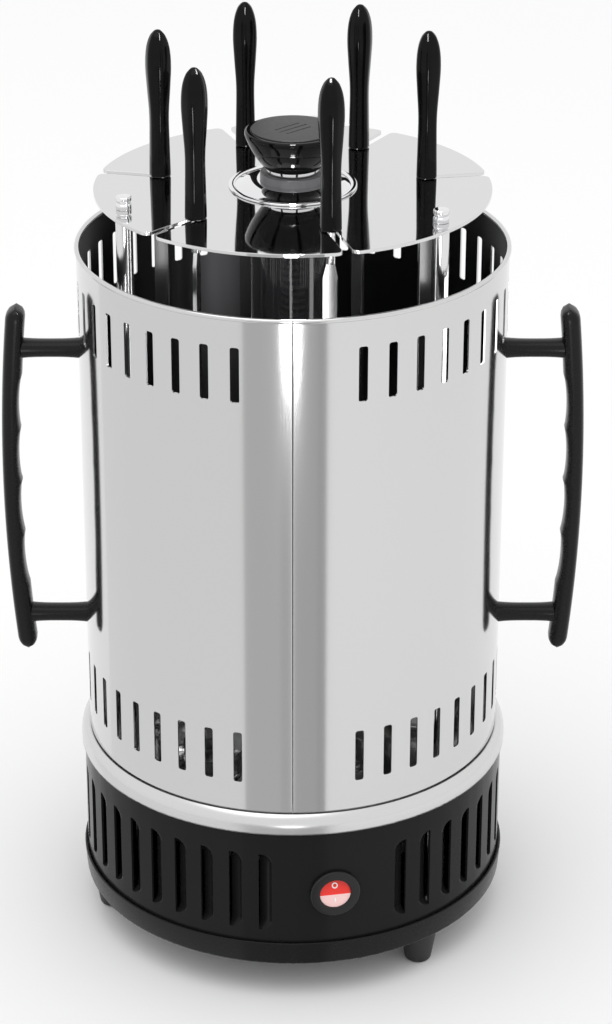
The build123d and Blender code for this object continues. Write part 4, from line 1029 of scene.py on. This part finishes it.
# ---- Knob ----
# A gloss black cup with a matte inlay, on a chromed neck over a grey band. A domed chromed
# disc spreads its weight on the plate. It screws down on a stud.
KNOB_H, KNOB_R, KNOB_FOOT_R, KNOB_FOOT_Z, KNOB_BULGE = 26.6, 22.0, 13.0, 9.3, 0.95
COLLAR_R, COLLAR_Z, FLANGE_R, FLANGE_H, STUD_R = 15.0, 7.0, 29.5, 3.2, 2.5
INLAY_T, KNOB_WALL, STUD_DEPTH, NECK_R, NECK_GAP, CAD_KNOB_H = 1.5, 3.0, 9.0, 12.4, 0.3, 24.0
TURNING_BORE_R, FIXED_BORE_R = STUD_R + 0.05, STUD_R + 0.1
gloss_black = marked(surface("gloss black moulding", (0.003, 0.003, 0.0032), 0.07, Specular_IOR_Level=0.16),
                     0.08, 0.04, 60.0, 60.0)
matte_grey = marked(surface("matte grey inlay", (0.035, 0.035, 0.036), 0.5, Specular_IOR_Level=0.35),
                    0.5, 0.15, 500.0, 500.0, 0.12)
grey_band = surface("satin grey band", (0.10, 0.10, 0.105), 0.4)
top, foot_z = PLATE_TOP + KNOB_H, PLATE_TOP + KNOB_FOOT_Z
fitted(turned("knob_cup", [
    (TURNING_BORE_R, foot_z), *bowed((KNOB_FOOT_R, foot_z), (KNOB_R, top - 2.0), KNOB_BULGE, 14),
    *eased([(KNOB_R, top - 1.9), (KNOB_R, top, 1.2), (KNOB_R - KNOB_WALL, top, 0.4),
            (KNOB_R - KNOB_WALL, top - INLAY_T)])[1:],
    (0, top - INLAY_T), (0, foot_z + STUD_DEPTH), (TURNING_BORE_R, foot_z + STUD_DEPTH),
], gloss_black, 96), "knob", "gloss_black", "knob")
DISC_GROOVE_L, DISC_GROOVE_R, DISC_GROOVE_TURN, DISC_GROOVE_PITCH = 17.0, 0.5, 44.0, 3.8
disc_low, disc_high = box_mm("knob_disc")
disc_r, disc_top = (disc_high[0] - disc_low[0]) / 2, disc_high[2] + KNOB_H - CAD_KNOB_H
disc_foot = disc_top - (disc_high[2] - disc_low[2])
disc_outline = eased([(0, disc_foot), (disc_r, disc_foot), (disc_r, disc_top, 0.3), (0, disc_top)])
disc = turned("knob_disc_inlay", disc_outline, matte_grey, 96)
along = (math.cos(math.radians(DISC_GROOVE_TURN)), math.sin(math.radians(DISC_GROOVE_TURN)), 0)
for step in (-1, 0, 1):
    set_off, groove_l = step * DISC_GROOVE_PITCH, DISC_GROOVE_L - 2 * abs(step)
    place = (-along[1] * set_off, along[0] * set_off, disc_top + 0.1)
    bored(disc, place, along, DISC_GROOVE_R, groove_l)
disc.data.set_sharp_from_angle(angle=math.radians(30))
fitted(disc, "knob", "matte_grey", "knob_disc")
fitted(turned("knob_neck_turned", eased([
    (TURNING_BORE_R, PLATE_TOP + COLLAR_Z + NECK_GAP), (NECK_R, PLATE_TOP + COLLAR_Z + NECK_GAP, 0.4),
    (NECK_R, foot_z, 0.4), (TURNING_BORE_R, foot_z),
]), chrome, 96), "knob", "chrome", "knob_neck")
fitted(turned("knob_band", eased([
    (FIXED_BORE_R, PLATE_TOP + FLANGE_H), (COLLAR_R, PLATE_TOP + FLANGE_H),
    (COLLAR_R, PLATE_TOP + COLLAR_Z, 0.8), (FIXED_BORE_R, PLATE_TOP + COLLAR_Z),
]), grey_band, 96), "base", "grey_band", "knob_collar")
BRIM_R, BRIM_EASE = 1.1, 0.55
fitted(turned("knob_flange_pressed", [
    (FIXED_BORE_R, PLATE_TOP),
    *eased([(FLANGE_R, PLATE_TOP, BRIM_EASE), (FLANGE_R, PLATE_TOP + BRIM_R, BRIM_EASE),
            (FLANGE_R - 2 * BRIM_R, PLATE_TOP + BRIM_R, BRIM_EASE),
            (FLANGE_R - 3.2, PLATE_TOP + 0.6, BRIM_EASE)]),
    *bowed((FLANGE_R - 4.4, PLATE_TOP + 0.8), (COLLAR_R - 1.0, PLATE_TOP + FLANGE_H), 0.9),
    (FIXED_BORE_R, PLATE_TOP + FLANGE_H),
], chrome, 128), "base", "chrome", "knob_flange")

# ---- Skewers ----
# Six flat steel blades with round shanks stand in the sockets of the spindles. Each has a
# six-sided black handle, waisted below and pointed on top, moulded round its tang.
HANDLE_SHAPE = (
    (0.0, 5.0), (0.2, 4.75), (0.42, 4.6), (0.62, 5.5), (0.76, 6.0), (0.88, 5.4), (0.96, 3.6), (1.0, 1.2),
)
FACET_STEPS, FACET_ROUND, TIP_R = (-22, -12, 0, 12, 22, 27, 30), 24, 3.0
HANDLE_FLAT, HANDLE_RIDGE = 0.935, 0.965
SKEWER_TURNS = (20.0, 75.0, 40.0, 0.0, 28.0, 60.0)
glossy = surface("skewer handle black", (0.0025, 0.0025, 0.0027), 0.07, Specular_IOR_Level=0.13)
handle_black = marked(glossy, 0.1, 0.06, 40.0, 40.0)


def handle_half(share):
    """Give the handle's half width at a share of its height, along a smooth curve."""
    shape = HANDLE_SHAPE
    for k in range(len(shape) - 1):
        (t0, w0), (t1, w1) = shape[k], shape[k + 1]
        if t0 <= share <= t1:
            before, after = shape[max(0, k - 1)], shape[min(len(shape) - 1, k + 2)]
            slope0 = (w1 - before[1]) / max(1e-6, t1 - before[0]) if k else 0.0
            slope1 = (after[1] - w0) / max(1e-6, after[0] - t0)
            step, u = t1 - t0, (share - t0) / (t1 - t0)
            return ((2 * u**3 - 3 * u**2 + 1) * w0 + (u**3 - 2 * u**2 + u) * step * slope0
                    + (3 * u**2 - 2 * u**3) * w1 + (u**3 - u**2) * step * slope1)
    return shape[-1][1]


def skewer_grip(name, low, high):
    """Loft one six-sided handle with softened ridges."""
    sections = []
    shares = [0.0, 0.004] + [0.02 + 0.94 * k / 36 for k in range(37)] + [0.972, 0.982, 0.99, 0.996, 1.0]
    for share in shares:
        half = handle_half(share) * (0.93 if share == 0.0 else 1.0)
        if share > 0.985:
            half = min(half, TIP_R * math.sqrt(max(0.02, 1 - ((share - 0.96) / 0.04) ** 2)))
        section = []
        for side in range(6):
            for off in FACET_STEPS:
                a = math.radians(60 * side + 30 + off)
                eased_off = min(off, FACET_ROUND) if off > 0 else off
                reach = half * min(HANDLE_FLAT / math.cos(math.radians(eased_off)), HANDLE_RIDGE * 1.03)
                section.append((reach * math.cos(a), reach * math.sin(a), low + (high - low) * share))
        sections.append(section)
    return lofted(name, sections, handle_black, 70.0)


for number, (angle, turn) in enumerate(zip(STATION_ANGLES, SKEWER_TURNS), 1):
    low, high = box_mm(f"skewer_handle_{number}")
    handle = skewer_grip(f"skewer_grip_{number}", low[2], high[2])
    place = Matrix.Rotation(math.radians(angle), 4, "Z") @ Matrix.Translation((STATION_R * MM, 0, 0))
    handle.data.transform(place @ Matrix.Rotation(math.radians(turn), 4, "Z"))
    fitted(handle, f"skewer_{number}", "gloss_black", f"skewer_handle_{number}")
    softened(f"skewer_blade_{number}", f"skewer_{number}", "bright_steel", bright_steel, 0.2)

# ---- Switch ----
# A round rocker switch snaps into the wall: a dark bezel round a translucent red rocker,
# printed with the usual ring and bar. The rocker's sides are part of a ball round its
# axle, so that it rocks without touching the bezel.
SWITCH_R, SWITCH_FLANGE_T, BARREL_R, BARREL_L = 12.0, 2.0, 10.0, 16.0
AXLE_R_PLACE = 98.0
BALL_R, BALL_GAP = 9.55, 0.15
ROCKER_TILT, ROCKER_SLOPE, ROCKER_RIDGE, ROCKER_RIDGE_Y, ROCKER_FOOT = 10.0, 10.0, 5.9, -1.6, 0.8
PRINT_T, PRINT_LIFT = 0.06, 0.01
RING_OUT_R, RING_IN, RING_SET, BAR_SET, BAR_HALF = 1.45, 0.9, 4.4, 2.9, (0.3, 1.1)
bezel_black = surface("switch bezel", (0.012, 0.012, 0.0125), 0.25, Specular_IOR_Level=0.3)
rocker_red = surface("translucent red rocker", (0.86, 0.022, 0.012), 0.16, Specular_IOR_Level=0.5)
# The rocker's lower half is painted pale pink: a painted reflection of the white floor on the red rocker.
rocker_painted_reflection = surface("painted reflection on the rocker's lower half", (0.93, 0.62, 0.60), 0.2, Specular_IOR_Level=0.5)
print_white = surface("white print", (0.9, 0.9, 0.9), 0.4)
to_axle = (Matrix.Translation(Vector(on_drum(SWITCH_AZ, AXLE_R_PLACE, SWITCH_Z)) * MM)
           @ Matrix.Rotation(math.radians(SWITCH_AZ), 4, "Z") @ Matrix.Rotation(math.pi / 2, 4, "X"))
face_z = WALL_R - AXLE_R_PLACE
rim_z = face_z + SWITCH_FLANGE_T
well_r = BALL_R + BALL_GAP
well = [(math.sqrt(well_r**2 - z * z), z) for z in [(rim_z - 0.5) * (1 - k / 8) for k in range(9)]]
mouth_r = well[0][0]
bezel = turned("switch_bezel", [
    *eased([(BARREL_R, face_z), (SWITCH_R, face_z, 0.2), (SWITCH_R, rim_z, 1.0),
            (mouth_r, rim_z, 0.4)])[:-1],
    *well,
    (well_r, face_z - BARREL_L), (BARREL_R, face_z - BARREL_L),
], bezel_black, 72)
bezel.data.transform(to_axle)
fitted(bezel, "base", "gloss_black", "switch_housing")


def sloping_cap(name, material, side):
    """Make one half of the rocker: a ball's zone under a face that slopes from the ridge."""
    turn = math.radians(ROCKER_SLOPE)
    corners, faces = [], []
    steps, rows = 24, 6
    for k in range(steps + 1):
        a = math.pi * k / steps
        x, y = math.cos(a), side * math.sin(a)
        # where the sloping face meets the ball, at this bearing from the ridge's middle
        low, high = 0.0, 2 * BALL_R
        for _ in range(40):
            r = (low + high) / 2
            z = ROCKER_RIDGE - abs(r * y) * math.tan(turn)
            if math.hypot(r * x, ROCKER_RIDGE_Y + r * y, z) > BALL_R:
                high = r
            else:
                low = r
        top = ROCKER_RIDGE - abs(low * y) * math.tan(turn)
        edge_x, edge_y = low * x, ROCKER_RIDGE_Y + low * y
        out = math.hypot(edge_x, edge_y)
        corners.append((edge_x, edge_y, top))
        for row in range(1, rows + 1):
            z = top + (ROCKER_FOOT - top) * row / rows
            r = math.sqrt(BALL_R**2 - z * z)
            corners.append((r * edge_x / out, r * edge_y / out, z))
    wide = rows + 1
    hub, base = len(corners), len(corners) + 1
    corners += [(0, ROCKER_RIDGE_Y, ROCKER_RIDGE), (0, 0, ROCKER_FOOT)]
    for k in range(steps):
        a, b = k * wide, (k + 1) * wide
        faces.append((hub, a, b))
        faces.append((base, b + rows, a + rows))
        faces += [(a + row, a + row + 1, b + row + 1, b + row) for row in range(rows)]
    faces.append((hub, *range(steps * wide, steps * wide + wide), base, *range(rows, -1, -1)))
    if side < 0:
        faces = [tuple(reversed(face)) for face in faces]
    cap = meshed(name, corners, faces, material, 40.0)
    cap.data.transform(to_axle @ Matrix.Rotation(math.radians(-ROCKER_TILT), 4, "X"))
    return fitted(cap, "rocker", "red_rocker", "switch_rocker")


def printed(name, outline, inner, set_y, side):
    """Lay a flat printed mark on a sloping half."""
    count = len(outline)
    corners = [(x, y, z) for z in (0.0, PRINT_T) for x, y in outline + inner]
    n = len(outline) + len(inner)
    faces = []
    for k in range(count):
        m = (k + 1) % count
        if inner:
            faces.append((n + k, n + m, n + count + m, n + count + k))
            faces.append((count + k, count + m, n + count + m, n + count + k)[::-1])
        faces.append((k, m, n + m, n + k))
    if not inner:
        faces.append(tuple(range(n, n + count)))
    mark = meshed(name, corners, faces, print_white)
    lay = Matrix.Translation((0, ROCKER_RIDGE_Y * MM, ROCKER_RIDGE * MM))
    lay = lay @ Matrix.Rotation(math.radians(-side * ROCKER_SLOPE), 4, "X")
    lay = lay @ Matrix.Translation((0, side * set_y * MM, PRINT_LIFT * MM))
    mark.data.transform(to_axle @ Matrix.Rotation(math.radians(-ROCKER_TILT), 4, "X") @ lay)
    return fitted(mark, "rocker", "red_rocker")


def circle(radius, steps=32):
    """List the points of a circle."""
    return [(radius * math.cos(2 * math.pi * k / steps), radius * math.sin(2 * math.pi * k / steps))
            for k in range(steps)]


sloping_cap("rocker_upper", rocker_red, 1)
sloping_cap("rocker_lower", rocker_painted_reflection, -1)
printed("rocker_ring", circle(RING_OUT_R), circle(RING_IN), RING_SET, 1)
bar_x, bar_y = BAR_HALF
printed("rocker_bar", [(-bar_x, -bar_y), (bar_x, -bar_y), (bar_x, bar_y), (-bar_x, bar_y)], [], BAR_SET, -1)

# ---- Hand-over ----
bpy.context.view_layer.update()
shown = [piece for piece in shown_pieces() if piece.type == "MESH"]
points = [piece.matrix_world @ Vector(corner) for piece in shown for corner in piece.bound_box]
[[pick(point[axis] for point in points) for axis in range(3)] for pick in (min, max)]
